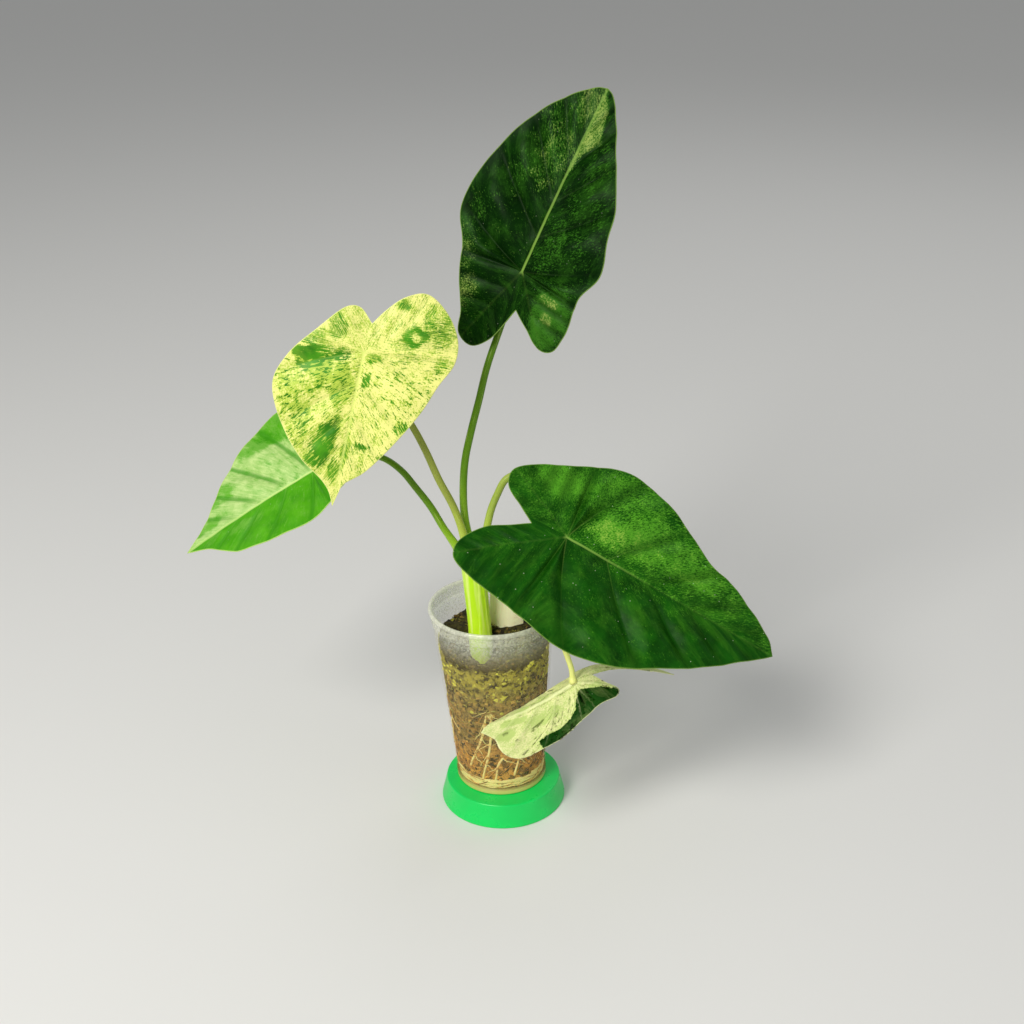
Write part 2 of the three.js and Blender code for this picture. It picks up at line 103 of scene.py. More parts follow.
# The leaves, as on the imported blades: x runs along the midrib and y to the blade's left.
# `deep` and `wash` give how much of the left and the right half is deep green and soft
# green over the pale ground. A mark is an oval with the change it makes to both, and a
# sector is an outline with the shares inside it.
LEAVES = [
    {
        "name": "top",
        "stalk": {
            "path": [(-20.3, 10.7, 196), (-22, 10.4, 213), (-24.6, 9.5, 232), (-25.2, 9, 254),
                     (-23.4, 11, 277), (-18.7, 14, 298), (-12.7, 18, 320), (-7, 25, 341),
                     (2, 33, 365), (11, 36, 388)],
            "radii": [2.9, 2.6, 2.2],
            "colours": (0xAAD636, 0x5E8A12, 0x567E0E),
        },
        "attach": (18, 20, 411), "towards": (54, 16, 116), "facing": (-0.4, -0.85, 0.3),
        "length": 130, "back": 60, "half_width": 62,
        "fold": 16, "flare": 0.15, "droop": 0.1, "lobe_droop": 0.1, "sway": 0.02,
        "relief": 3.6, "lobes": (158, 136),
        "left": [(131, 0), (129, 7), (115, 24), (87, 44), (50, 58), (20, 60), (0, 48), (-19, 42), (-42, 31),
                 (-58, 26), (-62, 15), (-53, 4), (-25, -8)],
        "right": [(-25, -8), (-32, -20), (-41, -37), (-38, -47), (-24, -51), (2, -50), (21, -57),
                  (44, -51), (62, -47), (100, -26), (122, -12), (129, -5), (131, 0)],
        "skin": "leaf_dark",
        "colours": {"pale": 0x96AA54, "wash": 0x336818, "deep": 0x062802, "dim": 0x011401,
                    "vein": 0x7A9E42, "margin": 0x86A650, "under": 0x6E9A50},
        "deep": (0.77, 0.72), "wash": (0.8, 0.86),
        "marks": [
            (92, 18, 36, 17, -0.17, -0.08), (120, 5, 15, 10, -0.2, -0.18), (74, 10, 26, 11, -0.12, -0.08),
            (-3, 43, 14, 8, -0.16, -0.16), (-28, 33, 15, 9, -0.2, -0.24), (16, 50, 16, 9, -0.1, -0.05),
            (-20, -34, 24, 17, -0.32, 0.0), (-9, -29, 3.5, 10, -0.3, -0.3), (-20.5, -33, 4.5, 6, -0.3, -0.36),
            (48, -26, 34, 18, -0.07, 0.02), (85, -22, 18, 10, -0.1, -0.04), (20, -14, 22, 11, -0.13, 0.05),
            (58, 30, 16, 9, -0.1, 0.0), (30, 42, 14, 7, -0.08, 0.0),
        ],
        "sectors": [
            {"outline": [(64, 0.2), (76, -1.8), (88, -6.5), (97, -14.5), (106, -12), (117, -8.5),
                         (126, -4), (131, 0.5), (118, 0.4)], "deep": 0.34, "wash": 0.5},
        ],
        "lobe_line": 0.04, "vein_line": 0.03, "line_fade": 0.5, "blur": 0.16, "specks": 0.15, "gloss": 0.08,
        "mottle_and_sheen": 0.5,
        "fleck_mm": 0.85, "stretch": 0.65, "contrast": 1.25, "shaded_veins": 0.5, "shade_mm": 4,
    },
    {
        "name": "cream",
        "stalk": {
            "path": [(-21.3, -0.6, 196), (-23.5, -0.6, 213), (-27, 0, 230), (-32.5, 0, 247),
                     (-41.6, -2, 268), (-50, -2, 290), (-58, 1, 306), (-69, 3, 324), (-79, 2, 342),
                     (-86, -6, 357)],
            "radii": [2.9, 2.5, 2.1],
            "colours": (0xC0D84A, 0x98A444, 0x909A40),
        },
        "attach": (-87, -24, 370), "towards": (-22, -30, -95), "facing": (0, -0.95, 0.25),
        "length": 105, "back": 60, "half_width": 70,
        "fold": 8, "flare": 0.2, "droop": 0.1, "lobe_droop": 0.15, "sway": -0.02,
        "relief": 1.6, "lobes": (128, 116),
        "left": [(106, 0), (97, 2), (90, 4), (79, 16), (54, 33), (30, 46), (12, 53), (-5, 61), (-20, 60),
                 (-36, 50), (-46, 34), (-41, 20), (-30, 9), (-20, 2)],
        "right": [(-20, 2), (-29, -8), (-28, -16), (-10, -33), (10, -49), (29, -56), (50, -49), (76, -29),
                  (90, -10), (97, -4), (106, 0)],
        "skin": "leaf_cream",
        "colours": {"pale": 0xF0EE8C, "wash": 0xB6CE4C, "deep": 0x4C9A16, "dim": 0x206408,
                    "vein": 0xDCE87A, "margin": 0xEEF29A, "under": 0xDDE690},
        "deep": (0.29, 0.28), "wash": (0.42, 0.46), "fleck_mm": 1.0, "stretch": 1.3, "contrast": 2.1,
        "veil": 0.09, "shaded_veins": 0.12,
        "marks": [
            (9, -39, 4.5, 4.5, 0.62, 0.3), (12, -33, 6, 9, 0.2, 0.4), (5, -25, 5, 12, 0.26, 0.1),
            (3, -12, 6, 5, 0.3, 0.1), (-13, -19, 8, 6, 0.27, 0.1), (-2, -33, 8, 8, 0.22, 0.1),
            (23, -11, 15, 8, 0.16, 0.22), (34, -40, 16, 12, 0.08, 0.12), (17, -24, 12, 5, 0.2, 0.3),
            (-27, 46, 14, 12, 0.22, 0.15), (-36, 20, 5, 4, 0.32, 0.3), (-12, 30, 16, 10, 0.1, 0.05),
            (62, -14, 12, 7, 0.4, 0.3), (52, -10, 8, 5, 0.32, 0.2), (73, -17, 10, 8, 0.34, 0.2),
            (81, -5, 9, 5, 0.3, 0.2), (56, -32, 12, 9, 0.14, 0.1), (18, 5, 5, 3.5, 0.5, 0.3),
            (3, 7, 4, 6, 0.2, 0.2), (61, 10, 1.6, 7, 0.5, 0.3), (44, 33, 5, 5, 0.26, 0.2),
            (-2, 52, 6, 5, 0.16, 0.1), (66, 1, 20, 1.8, 0.2, 0.2),
        ],
        "rings": [(-17, 31.5, 5.6, 2.3), (10, -38, 6.5, 1.8)],
        "sectors": [],
        "lobe_line": 0.3, "vein_line": 0.2, "line_fade": 0.6, "blur": 0.07, "specks": 0.0,
    },
    {
        "name": "left",
        "stalk": {
            "path": [(-24.9, 5.5, 196), (-30, 6.5, 209), (-40.6, 10, 225.6), (-48.9, 12, 240.7),
                     (-59.2, 16, 254), (-69.5, 20, 266), (-82, 26, 273), (-98, 32, 274),
                     (-113, 34, 270), (-125, 32, 264)],
            "radii": [2.8, 2.4, 2],
            "colours": (0xA2CC30, 0x66921A, 0x5C8412),
        },
        "attach": (-134, 22, 266), "towards": (-95, -22, -50), "facing": (-0.25, -0.55, 0.8),
        "length": 110, "back": 60, "half_width": 70,
        "fold": 10, "flare": 0.12, "droop": 0.1, "lobe_droop": 0.1, "sway": -0.02,
        "relief": 2.4, "lobes": (150, 138),
        "left": [(110, 0), (94, 9), (73, 28), (57, 34), (40, 38), (22, 41), (6, 39), (-8, 32), (-22, 25),
                 (-33, 20), (-38, 13), (-31, 5), (-17, 0)],
        "right": [(-17, 0), (-34, -8), (-50, -20), (-53, -33), (-42, -48), (-18, -60), (6, -62), (23, -57),
                  (44, -47), (66, -31), (86, -14), (100, -5), (110, 0)],
        "skin": "leaf_half",
        "colours": {"pale": 0xC2DC8C, "wash": 0x6CAE3A, "deep": 0x52A80A, "dim": 0x348A02,
                    "vein": 0xC8E486, "margin": 0xC8E67A, "under": 0xB4CE78},
        "deep": (0.7, 0.22), "wash": (1.0, 0.42),
        "marks": [
            (8, -50, 20, 13, 0.3, 0.5), (30, -46, 16, 9, 0.1, 0.3), (70, -24, 14, 7, 0.08, 0.25),
            (88, -9, 16, 5, 0.1, 0.3), (60, 10, 16, 5, -0.2, 0.0), (88, 4, 12, 4, -0.12, -0.1),
        ],
        "sectors": [],
        "shaded_veins": 0.75, "shade_mm": 2.8,
        "lobe_line": 0.5, "vein_line": 0.08, "line_fade": 0.4, "blur": 0.2, "specks": 0.3, "fleck_mm": 1.5,
        "stretch": 1.7, "cells": 0.2, "veil": 0.22, "mottle_and_sheen": 0.3,
    },
    {
        "name": "front",
        "stalk": {
            "path": [(-13.9, 8, 196), (-11.5, 8.4, 212), (-8.6, 9, 226.5), (-5.7, 12, 237.7),
                     (-1.2, 15, 248.2), (5.4, 17, 259.5), (15, 18, 263), (27, 10, 260), (38, -6, 250),
                     (45, -22, 239)],
            "radii": [2.9, 2.6, 2.3],
            "colours": (0xC0D84A, 0x9CB048, 0x98AA46),
        },
        "attach": (47, -38, 240), "towards": (142, -40, -74), "facing": (0.05, -0.55, 0.83),
        "length": 165, "back": 80, "half_width": 80,
        "fold": 10, "flare": 0.16, "droop": 0.12, "lobe_droop": 0.12, "sway": 0.06,
        "relief": 3.9, "lobes": (152, 139),
        "left": [(167, 0), (160, 9), (145, 19), (113, 34), (97, 38), (74, 52), (50, 64), (20, 71), (0, 64),
                 (-22, 51), (-44, 39), (-56, 27), (-53, 14), (-38, 4), (-26, -4)],
        "right": [(-26, -4), (-38, -13), (-52, -24), (-63, -44), (-60, -56), (-46, -63), (-11, -70),
                  (27, -77), (64, -72), (100, -53), (123, -38), (146, -19), (162, -5), (167, 0)],
        "skin": "leaf_dark",
        "colours": {"pale": 0x98BC4A, "wash": 0x549C24, "deep": 0x155408, "dim": 0x073402,
                    "vein": 0x84AC4A, "margin": 0x7EA244, "under": 0x7AA45A},
        "deep": (0.66, 0.82), "wash": (0.8, 1.0),
        # Besides the leaf's own variegation, these marks are partly painted light: they lighten the pillows and lobes
        # where the light falls and darken the tip
        "marks": [
            (26, 46, 34, 24, -0.14, 0.0), (72, 28, 38, 20, -0.16, -0.06), (-22, 38, 20, 15, -0.22, 0.0),
            (58, -8, 60, 10, -0.1, 0.0), (112, 22, 30, 12, -0.1, -0.04), (34, 18, 26, 12, -0.16, -0.1),
            (22, 18, 17, 9, -0.12, -0.12), (46, -40, 24, 10, -0.04, 0.0), (-20, -30, 26, 16, -0.08, 0.0),
            (140, -12, 26, 18, 0.08, 0.0),
        ],
        "sectors": [],
        "lobe_line": 0.05, "vein_line": 0.3, "line_fade": 0.94, "line_reach": 0.4, "blur": 0.18, "specks": 0.5,
        "gloss": 0.12, "fleck_mm": 0.8, "stretch": 0.65, "contrast": 1.3, "shaded_veins": 0.5, "shade_mm": 7,
        "mottle_and_sheen": 0.34, "join": (1, 4),
    },
    {
        "name": "low",
        "stalk": {
            "path": [(-14.5, 1.1, 196), (-11.5, 0.8, 211), (-6, -0.5, 225), (5, -3, 228), (18, -7, 222),
                     (30, -11, 206), (38, -19, 183), (42, -31, 164), (46, -45, 153.5), (50, -56, 144.5)],
            "radii": [2.8, 2.3, 1.9],
            "colours": (0xDCEE62, 0xF0F48A, 0xF2F490),
        },
        "attach": (52, -62, 136.5), "towards": (-56, -14, -36), "facing": (-0.05, 0.22, -0.97),
        "length": 76, "back": 60, "half_width": 45,
        "fold": 50, "flare": 0.2, "droop": 0.28, "lobe_droop": -1.05, "sway": 0,
        "relief": 1.6, "lobes": (164, 142),
        "left": [(72, -4), (58, 9), (44, 20), (25, 30), (5, 33), (-15, 32), (-35, 27), (-52, 20), (-60, 12),
                 (-52, 6), (-33, 6), (-13, 1)],
        "right": [(-13, 1), (-18, -10), (-23, -18), (-19, -25), (-6, -27), (10, -30), (30, -35), (48, -36),
                  (60, -36), (66, -31), (68, -22), (67, -14), (72, -4)],
        "skin": "leaf_pale",
        "colours": {"pale": 0xF2F0AE, "wash": 0xC2D67C, "deep": 0x144606, "dim": 0x0A2E02,
                    "vein": 0xF0F4B4, "margin": 0xF0F4B8, "under": 0xE6ECB4},
        "deep": (-0.2, -0.2), "wash": (0.42, 0.46), "veil": 0.22, "cells": 0.9, "shaded_veins": 0.1, "join": (0, 3),
        "marks": [
            (50, -5, 9, 3, 0.52, 0.9), (59, -13, 6, 4, 0.4, 0.7), (43, 4, 7, 3, 0.36, 0.4),
            (-10, -13, 5, 4, 0.46, 0.4), (28, 10, 20, 6, 0.1, 0.2), (30, -12, 16, 5, 0.1, 0.25),
        ],
        "sectors": [
            {"outline": [(-24, -16), (-16.5, -14.5), (-8.7, -12), (-2, -8.5), (0.3, -8), (5.9, -13.2),
                         (10.3, -19.2), (16.7, -23.4), (25.1, -25.5), (36.4, -26.6), (43, -27.9), (44, -42),
                         (0, -42), (-34, -30), (-34, -16)], "deep": 1.0, "wash": 1.0},
        ],
        "bare_underside": True,
        "lobe_line": 0.35, "vein_line": 0.3, "line_fade": 0.5, "blur": 0.1, "specks": 0.3, "gloss": 0.15,
    },
]


def linear(code):
    """A colour written as an sRGB hex number, as linear red, green, blue and alpha."""
    parts = [(code >> shift & 255) / 255 for shift in (16, 8, 0)]
    return (*(c / 12.92 if c <= 0.04045 else ((c + 0.055) / 1.055) ** 2.4 for c in parts), 1.0)


def soft(start, end, value):
    """A smooth step from 0 at start to 1 at end."""
    share = min(max((value - start) / (end - start), 0), 1)
    return share * share * (3 - 2 * share)


def mix(a, b, share):
    return a + (b - a) * share


def along_list(values, share):
    """The value at a share of the way through a list."""
    place = share * (len(values) - 1)
    i = min(int(place), len(values) - 2)
    return mix(values[i], values[i + 1], place - i)


# Lines and tubes

def centripetal(a, b, c, d, t):
    """A point between b and c on the centripetal Catmull-Rom curve."""
    first, second, third = ((q - p).length ** 0.5 for p, q in ((a, b), (b, c), (c, d)))
    leave = ((b - a) / first - (c - a) / (first + second) + (c - b) / second) * second
    arrive = ((c - b) / second - (d - b) / (second + third) + (d - c) / third) * second
    return b + leave * t + (3 * (c - b) - 2 * leave - arrive) * t ** 2 + (2 * (b - c) + leave + arrive) * t ** 3


def smooth_line(points, steps=24):
    """A fine line through the points."""
    knots = [Vector(p).to_3d() for p in points]
    knots = [2 * knots[0] - knots[1], *knots, 2 * knots[-1] - knots[-2]]
    line = []
    for group in zip(knots, knots[1:], knots[2:], knots[3:]):
        line += [centripetal(*group, i / steps) for i in range(steps)]
    return [*line, knots[-2]]


def evenly(line, count):
    """Points at equal distances along a line, its ends among them."""
    reach = [0.0]
    for a, b in zip(line, line[1:]):
        reach.append(reach[-1] + (b - a).length)
    result = []
    k = 0
    for i in range(count):
        goal = reach[-1] * i / (count - 1)
        while k < len(line) - 2 and reach[k + 1] < goal:
            k += 1
        result.append(line[k].lerp(line[k + 1], (goal - reach[k]) / (reach[k + 1] - reach[k])))
    return result


def tube(bm, centres, radii, sides, squash=1.0):
    """Skins a closed tube round a line. Its `skin` layer unrolls it: two numbers go round
    the tube and the third along it, in millimetres. Returns its rings of vertices."""
    layers = bm.verts.layers.float_vector
    skin = layers.get("skin") or layers.new("skin")
    ends = [centres[0], *centres, centres[-1]]
    ahead = [(b - a).normalized() for a, b in zip(ends, ends[2:])]
    turn = Vector((0, 0, 1)).rotation_difference(ahead[0])
    mean = sum(radii) / len(radii)
    rings = []
    gone = 0.0
    for k, (centre, radius) in enumerate(zip(centres, radii)):
        if k:
            turn = ahead[k - 1].rotation_difference(ahead[k]) @ turn
            gone += (centre - centres[k - 1]).length
        section = Matrix.Diagonal((radius * MM, radius * squash * MM, 1, 1))
        here = Matrix.Translation(centre * MM) @ turn.to_matrix().to_4x4() @ section
        if k:
            made = bmesh.ops.extrude_edge_only(bm, edges=edges)["geom"]
            ring = [g for g in made if isinstance(g, bmesh.types.BMVert)]
            edges = [g for g in made if isinstance(g, bmesh.types.BMEdge) and g.is_boundary]
            bmesh.ops.transform(bm, matrix=here @ before.inverted(), verts=ring)
        else:
            ring = bmesh.ops.create_circle(bm, cap_ends=True, segments=sides, radius=1)["verts"]
            edges = list({e for v in ring for e in v.link_edges})
            for v in ring:
                v[skin] = v.co * mean
            bmesh.ops.transform(bm, matrix=here, verts=ring)
        for v in ring:
            v[skin].z = gone
        before = here
        rings.append(ring)
    bmesh.ops.contextual_create(bm, geom=edges)
    bmesh.ops.recalc_face_normals(bm, faces=bm.faces[:])
    return rings


def lathe(profile, steps, crisp=0.5):
    """Turns a profile of (radius, height) points about the upright axis, in metres. Its
    corners sharper than `crisp` radians get a small round edge."""
    bm = bmesh.new()
    verts = [bm.verts.new((r * MM, 0, h * MM)) for r, h in profile]
    edges = [bm.edges.new(pair) for pair in zip(verts, verts[1:])]
    bmesh.ops.spin(bm, geom=verts + edges, cent=(0, 0, 0), axis=(0, 0, 1), angle=TURN, steps=steps,
                   use_merge=True)
    bmesh.ops.remove_doubles(bm, verts=bm.verts[:], dist=0.01 * MM)
    bmesh.ops.recalc_face_normals(bm, faces=bm.faces[:])
    if crisp:
        corners = [e for e in bm.edges if e.is_manifold and e.calc_face_angle() > crisp]
        bmesh.ops.bevel(bm, geom=corners, offset=0.18 * MM, affect="EDGES", segments=2, profile=0.5,
                        material=-1)
    return bm


def join_in(bm, small):
    """Adds a small bmesh, which is then freed, to a larger one."""
    mesh = bpy.data.meshes.new("small")
    small.to_mesh(mesh)
    small.free()
    bm.from_mesh(mesh)
    bpy.data.meshes.remove(mesh)


def set_down(bm, name, material, slot, *nodes):
    """Keeps a mesh as a piece of the part: its finish, its body and the nodes it
    stands for. The slot is not used."""
    mesh = bpy.data.meshes.new(name)
    for face in bm.faces:
        face.smooth = True
    bm.to_mesh(mesh)
    bm.free()
    mesh.materials.append(material)
    piece = bpy.data.objects.new(name, mesh)
    bpy.context.scene.collection.objects.link(piece)
    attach(piece, "root")
    if nodes:
        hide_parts(*nodes)
    return piece


def strew(bm, mesh, matrix, tint):
    """Adds a copy of a small mesh, with its own tint."""
    copy = mesh.copy()
    copy.transform(matrix)
    layer = copy.attributes.new("tint", "FLOAT", "POINT")
    layer.data.foreach_set("value", [tint] * len(copy.vertices))
    bm.from_mesh(copy)
    bpy.data.meshes.remove(copy)


# Places in the leaning cup

def axis_at(height):
    """The middle of the leaning cup at a height above its foot."""
    share = height / CUP["height"]
    return Vector((
        CUP["foot"][0] + CUP["lean"][0] * share,
        CUP["foot"][1] + CUP["lean"][1] * share,
        BASE["height"] + CUP["seat"] + height,
    ))


def inner_radius(height):
    outer = mix(CUP["foot_radius"], CUP["shoulder_radius"], height / CUP["shoulder_height"])
    return outer - CUP["wall"]


def in_cup(bearing, radius, height):
    return axis_at(height) + Vector((radius * math.cos(bearing), radius * math.sin(bearing), 0))


def lean(bm):
    """Puts an upright body of the cup's height on the base, leaning as the cup does."""
    for v in bm.verts:
        middle = axis_at(v.co.z / MM)
        v.co = Vector((v.co.x + middle.x * MM, v.co.y + middle.y * MM, middle.z * MM))


# Materials

def add(tree, kind, inputs=(), **settings):
    """Adds a node, with its settings, and fills its inputs with links or constants."""
    node = tree.nodes.new(kind)
    for key, value in settings.items():
        setattr(node, key, value)
    for key, value in dict(inputs).items():
        if isinstance(value, bpy.types.NodeSocket):
            tree.links.new(value, node.inputs[key])
        else:
            node.inputs[key].default_value = value
    return node


def bare_material(name):
    material = bpy.data.materials.new(name)
    material.use_nodes = True
    material.node_tree.nodes.clear()
    return material, material.node_tree


def moulded_polypropylene(colour):
    """Injection-moulded polypropylene: an even, saturated colour under a soft gloss, with
    faint flow marks and fine rubbed lines that break the highlight."""
    material, tree = bare_material("moulded_polypropylene_green")
    place = add(tree, "ShaderNodeTexCoord").outputs["Object"]
    flow = add(tree, "ShaderNodeTexNoise", {"Vector": place, "Scale": 1 / (18 * MM), "Detail": 3})
    shade = [0.8 * part for part in colour]
    tone = add(tree, "ShaderNodeMix", {0: flow.outputs["Fac"], 6: (*colour, 1), 7: (*shade, 1)}, data_type="RGBA")
    grit = add(tree, "ShaderNodeTexNoise", {"Vector": place, "Scale": 1 / (0.7 * MM), "Detail": 2})
    rough = add(tree, "ShaderNodeMapRange", {"Value": flow.outputs["Fac"], 1: 0.35, 2: 0.65, 3: 0.24, 4: 0.36})
    bump = add(tree, "ShaderNodeBump", {"Height": grit.outputs["Fac"], "Distance": 0.03 * MM, "Strength": 0.35})
    shader = add(tree, "ShaderNodeBsdfPrincipled", {
        "Base Color": tone.outputs[2], "Roughness": rough.outputs[0], "Normal": bump.outputs[0], "IOR": 1.49,
        "Subsurface Weight": 0.08, "Subsurface Scale": 0.004,
    })
    add(tree, "ShaderNodeOutputMaterial", {"Surface": shader.outputs[0]})
    return material


def hazed_polypropylene(haze, foot, fill_top, band, rim):
    """Thin, vacuum-formed polypropylene: milky clear, thicker at its foot. Above the filling
    the inside is fogged with condensation, which hides more and mottles it."""
    material, tree = bare_material("hazed_polypropylene")
    place = add(tree, "ShaderNodeTexCoord").outputs["Object"]
    height = add(tree, "ShaderNodeSeparateXYZ", {0: place}).outputs["Z"]
    fog_zone = add(tree, "ShaderNodeMapRange", {
        "Value": height, 1: (fill_top - 8) * MM, 2: (fill_top + 8) * MM, 3: 0.0, 4: 1.0})
    beads = add(tree, "ShaderNodeTexVoronoi", {"Vector": place, "Scale": 1 / (2.2 * MM), "Randomness": 1.0})
    cloud = add(tree, "ShaderNodeTexNoise", {"Vector": place, "Scale": 1 / (6 * MM), "Detail": 4, "Roughness": 0.65})
    fog = add(tree, "ShaderNodeMath", {0: cloud.outputs["Fac"], 1: beads.outputs["Distance"]}, operation="MULTIPLY")
    # Each wall has two faces, and each face hides its share
    least, even, thick, most = (1 - (1 - share * haze) ** 0.5 for share in (0.4, 0.9, 1.5, 3.1))
    fogged = add(tree, "ShaderNodeMapRange", {"Value": fog.outputs[0], 1: 0.08, 2: 0.34, 3: most, 4: thick})
    clear = add(tree, "ShaderNodeMapRange", {"Value": cloud.outputs["Fac"], 1: 0.35, 2: 0.7, 3: least, 4: even})
    thin = add(tree, "ShaderNodeMix", {0: fog_zone.outputs[0], 2: clear.outputs[0], 3: fogged.outputs[0]})
    rolled = add(tree, "ShaderNodeMapRange", {
        "Value": height, 1: (band - 1) * MM, 2: (band + 1) * MM, 3: 0.0, 4: 0.1})
    lined = add(tree, "ShaderNodeMapRange", {
        "Value": height, 1: (foot + 3) * MM, 2: (foot + 6) * MM, 3: 0.75, 4: 0.0})
    bead = add(tree, "ShaderNodeMapRange", {"Value": height, 1: (rim - 4) * MM, 2: (rim - 2.6) * MM, 3: 0.0, 4: 0.18})
    cover = thin
    for thicker in (rolled, lined, bead):
        cover = add(tree, "ShaderNodeMath", {0: cover.outputs[0], 1: thicker.outputs[0]}, operation="ADD")
    film = add(tree, "ShaderNodeMix", {0: fog_zone.outputs[0], 6: linear(0xE6D290), 7: linear(0xF0F1DC)},
               data_type="RGBA")
    tone = add(tree, "ShaderNodeMix", {0: lined.outputs[0], 6: film.outputs[2], 7: linear(0xF0DC80)}, data_type="RGBA")
    bump = add(tree, "ShaderNodeBump", {"Height": beads.outputs["Distance"], "Distance": 0.1 * MM, "Strength": 0.12})
    shader = add(tree, "ShaderNodeBsdfPrincipled", {
        "Base Color": tone.outputs[2], "Alpha": cover.outputs[0], "Roughness": 0.24, "IOR": 1.49,
        "Specular IOR Level": 0.8, "Normal": bump.outputs[0],
    })
    add(tree, "ShaderNodeOutputMaterial", {"Surface": shader.outputs[0]})
    return material


def wet_potting_mix(fill_top):
    """Wet bark and moss pressed against the wall: crumbs between near-black gaps, their dark
    painted shade in the hollows, rusty and tan low down, olive-yellow moss in the upper part, dark where it lies open."""
    material, tree = bare_material("wet_potting_mix")
    place = add(tree, "ShaderNodeTexCoord").outputs["Object"]
    height = add(tree, "ShaderNodeSeparateXYZ", {0: place}).outputs["Z"]
    open_top = add(tree, "ShaderNodeAttribute", attribute_name="open").outputs["Fac"]
    grain = add(tree, "ShaderNodeTexNoise", {"Vector": place, "Scale": 1 / (1.2 * MM), "Detail": 5, "Roughness": 0.7})
    patch = add(tree, "ShaderNodeTexNoise", {"Vector": place, "Scale": 1 / (14 * MM), "Detail": 3})
    crumbs = add(tree, "ShaderNodeTexVoronoi", {"Vector": place, "Scale": 1 / (2.6 * MM)})
    own = add(tree, "ShaderNodeSeparateColor", {0: crumbs.outputs["Color"]}).outputs[0]
    low = add(tree, "ShaderNodeMapRange", {"Value": height, 1: 72 * MM, 2: 44 * MM, 3: 0.0, 4: 1.0})
    rusty = add(tree, "ShaderNodeMath", {0: patch.outputs["Fac"], 1: 0.8, 2: low.outputs[0]}, operation="MULTIPLY_ADD")
    rust = add(tree, "ShaderNodeMapRange", {"Value": rusty.outputs[0], 1: 0.6, 2: 1.3})
    mossy = add(tree, "ShaderNodeMapRange", {"Value": height, 1: (fill_top - 44) * MM, 2: (fill_top - 22) * MM})
    moss = add(tree, "ShaderNodeMath", {0: patch.outputs["Fac"], 1: 0.9, 2: mossy.outputs[0]}, operation="MULTIPLY_ADD")
    moss_share = add(tree, "ShaderNodeMapRange", {"Value": moss.outputs[0], 1: 0.6, 2: 1.3})
    bark = add(tree, "ShaderNodeMix", {0: rust.outputs[0], 6: linear(0xA08440), 7: linear(0xE0A240)}, data_type="RGBA")
    mixed = add(tree, "ShaderNodeMix", {0: moss_share.outputs[0], 6: bark.outputs[2], 7: linear(0xB0A63A)},
                data_type="RGBA")
    # Painted shade: where the gap noise and each crumb's own tone run low, the colour falls to near-black, standing in
    # for the shade in the hollows between crumbs
    sorted_out = add(tree, "ShaderNodeMath", {0: own, 1: 0.55, 2: grain.outputs["Fac"]}, operation="MULTIPLY_ADD")
    gaps = add(tree, "ShaderNodeTexNoise", {"Vector": place, "Scale": 1 / (6 * MM), "Detail": 2})
    crumb_tone_and_gap_shade = add(tree, "ShaderNodeMath", {0: gaps.outputs["Fac"], 1: 1.2, 2: sorted_out.outputs[0]},
               operation="MULTIPLY_ADD")
    lit = add(tree, "ShaderNodeMapRange", {"Value": crumb_tone_and_gap_shade.outputs[0], 1: 1.1, 2: 1.6})
    shown = add(tree, "ShaderNodeMath", {0: open_top, 1: -0.88, 2: 1.0}, operation="MULTIPLY_ADD")
    bright = add(tree, "ShaderNodeMath", {0: lit.outputs[0], 1: shown.outputs[0]}, operation="MULTIPLY")
    tone = add(tree, "ShaderNodeMix", {0: bright.outputs[0], 6: linear(0x1C1408), 7: mixed.outputs[2]},
               data_type="RGBA")
    relief = add(tree, "ShaderNodeMath", {0: grain.outputs["Fac"], 1: crumbs.outputs["Distance"]}, operation="ADD")
    bump = add(tree, "ShaderNodeBump", {"Height": relief.outputs[0], "Distance": 1.2 * MM, "Strength": 0.8})
    shader = add(tree, "ShaderNodeBsdfPrincipled", {
        "Base Color": tone.outputs[2], "Roughness": 0.7, "Normal": bump.outputs[0], "Specular IOR Level": 0.25,
    })
    add(tree, "ShaderNodeOutputMaterial", {"Surface": shader.outputs[0]})
    return material


def tinted_plant_matter(name, light, low_light, dark, roughness, grain_mm):
    """Small dead plant parts, each with its own tint from pale to dark, and a fine grain.
    The pale ones turn to another colour low in the cup."""
    material, tree = bare_material(name)
    place = add(tree, "ShaderNodeTexCoord").outputs["Object"]
    tint = add(tree, "ShaderNodeAttribute", attribute_name="tint").outputs["Fac"]
    grain = add(tree, "ShaderNodeTexNoise", {"Vector": place, "Scale": 1 / (grain_mm * MM), "Detail": 4})
    share = add(tree, "ShaderNodeMath", {0: grain.outputs["Fac"], 1: 0.5, 2: tint}, operation="MULTIPLY_ADD")
    centred = add(tree, "ShaderNodeMapRange", {"Value": share.outputs[0], 1: 0.15, 2: 1.35})
    height = add(tree, "ShaderNodeSeparateXYZ", {0: place}).outputs["Z"]
    low = add(tree, "ShaderNodeMapRange", {"Value": height, 1: 90 * MM, 2: 50 * MM, 3: 0.0, 4: 1.0})
    pale = add(tree, "ShaderNodeMix", {0: low.outputs[0], 6: linear(light), 7: linear(low_light)}, data_type="RGBA")
    tone = add(tree, "ShaderNodeMix", {0: centred.outputs[0], 6: linear(dark), 7: pale.outputs[2]},
               data_type="RGBA")
    bump = add(tree, "ShaderNodeBump", {"Height": grain.outputs["Fac"], "Distance": 0.3 * MM, "Strength": 0.7})
    shader = add(tree, "ShaderNodeBsdfPrincipled", {
        "Base Color": tone.outputs[2], "Roughness": roughness, "Normal": bump.outputs[0],
        "Specular IOR Level": 0.25,
    })
    add(tree, "ShaderNodeOutputMaterial", {"Surface": shader.outputs[0]})
    return material


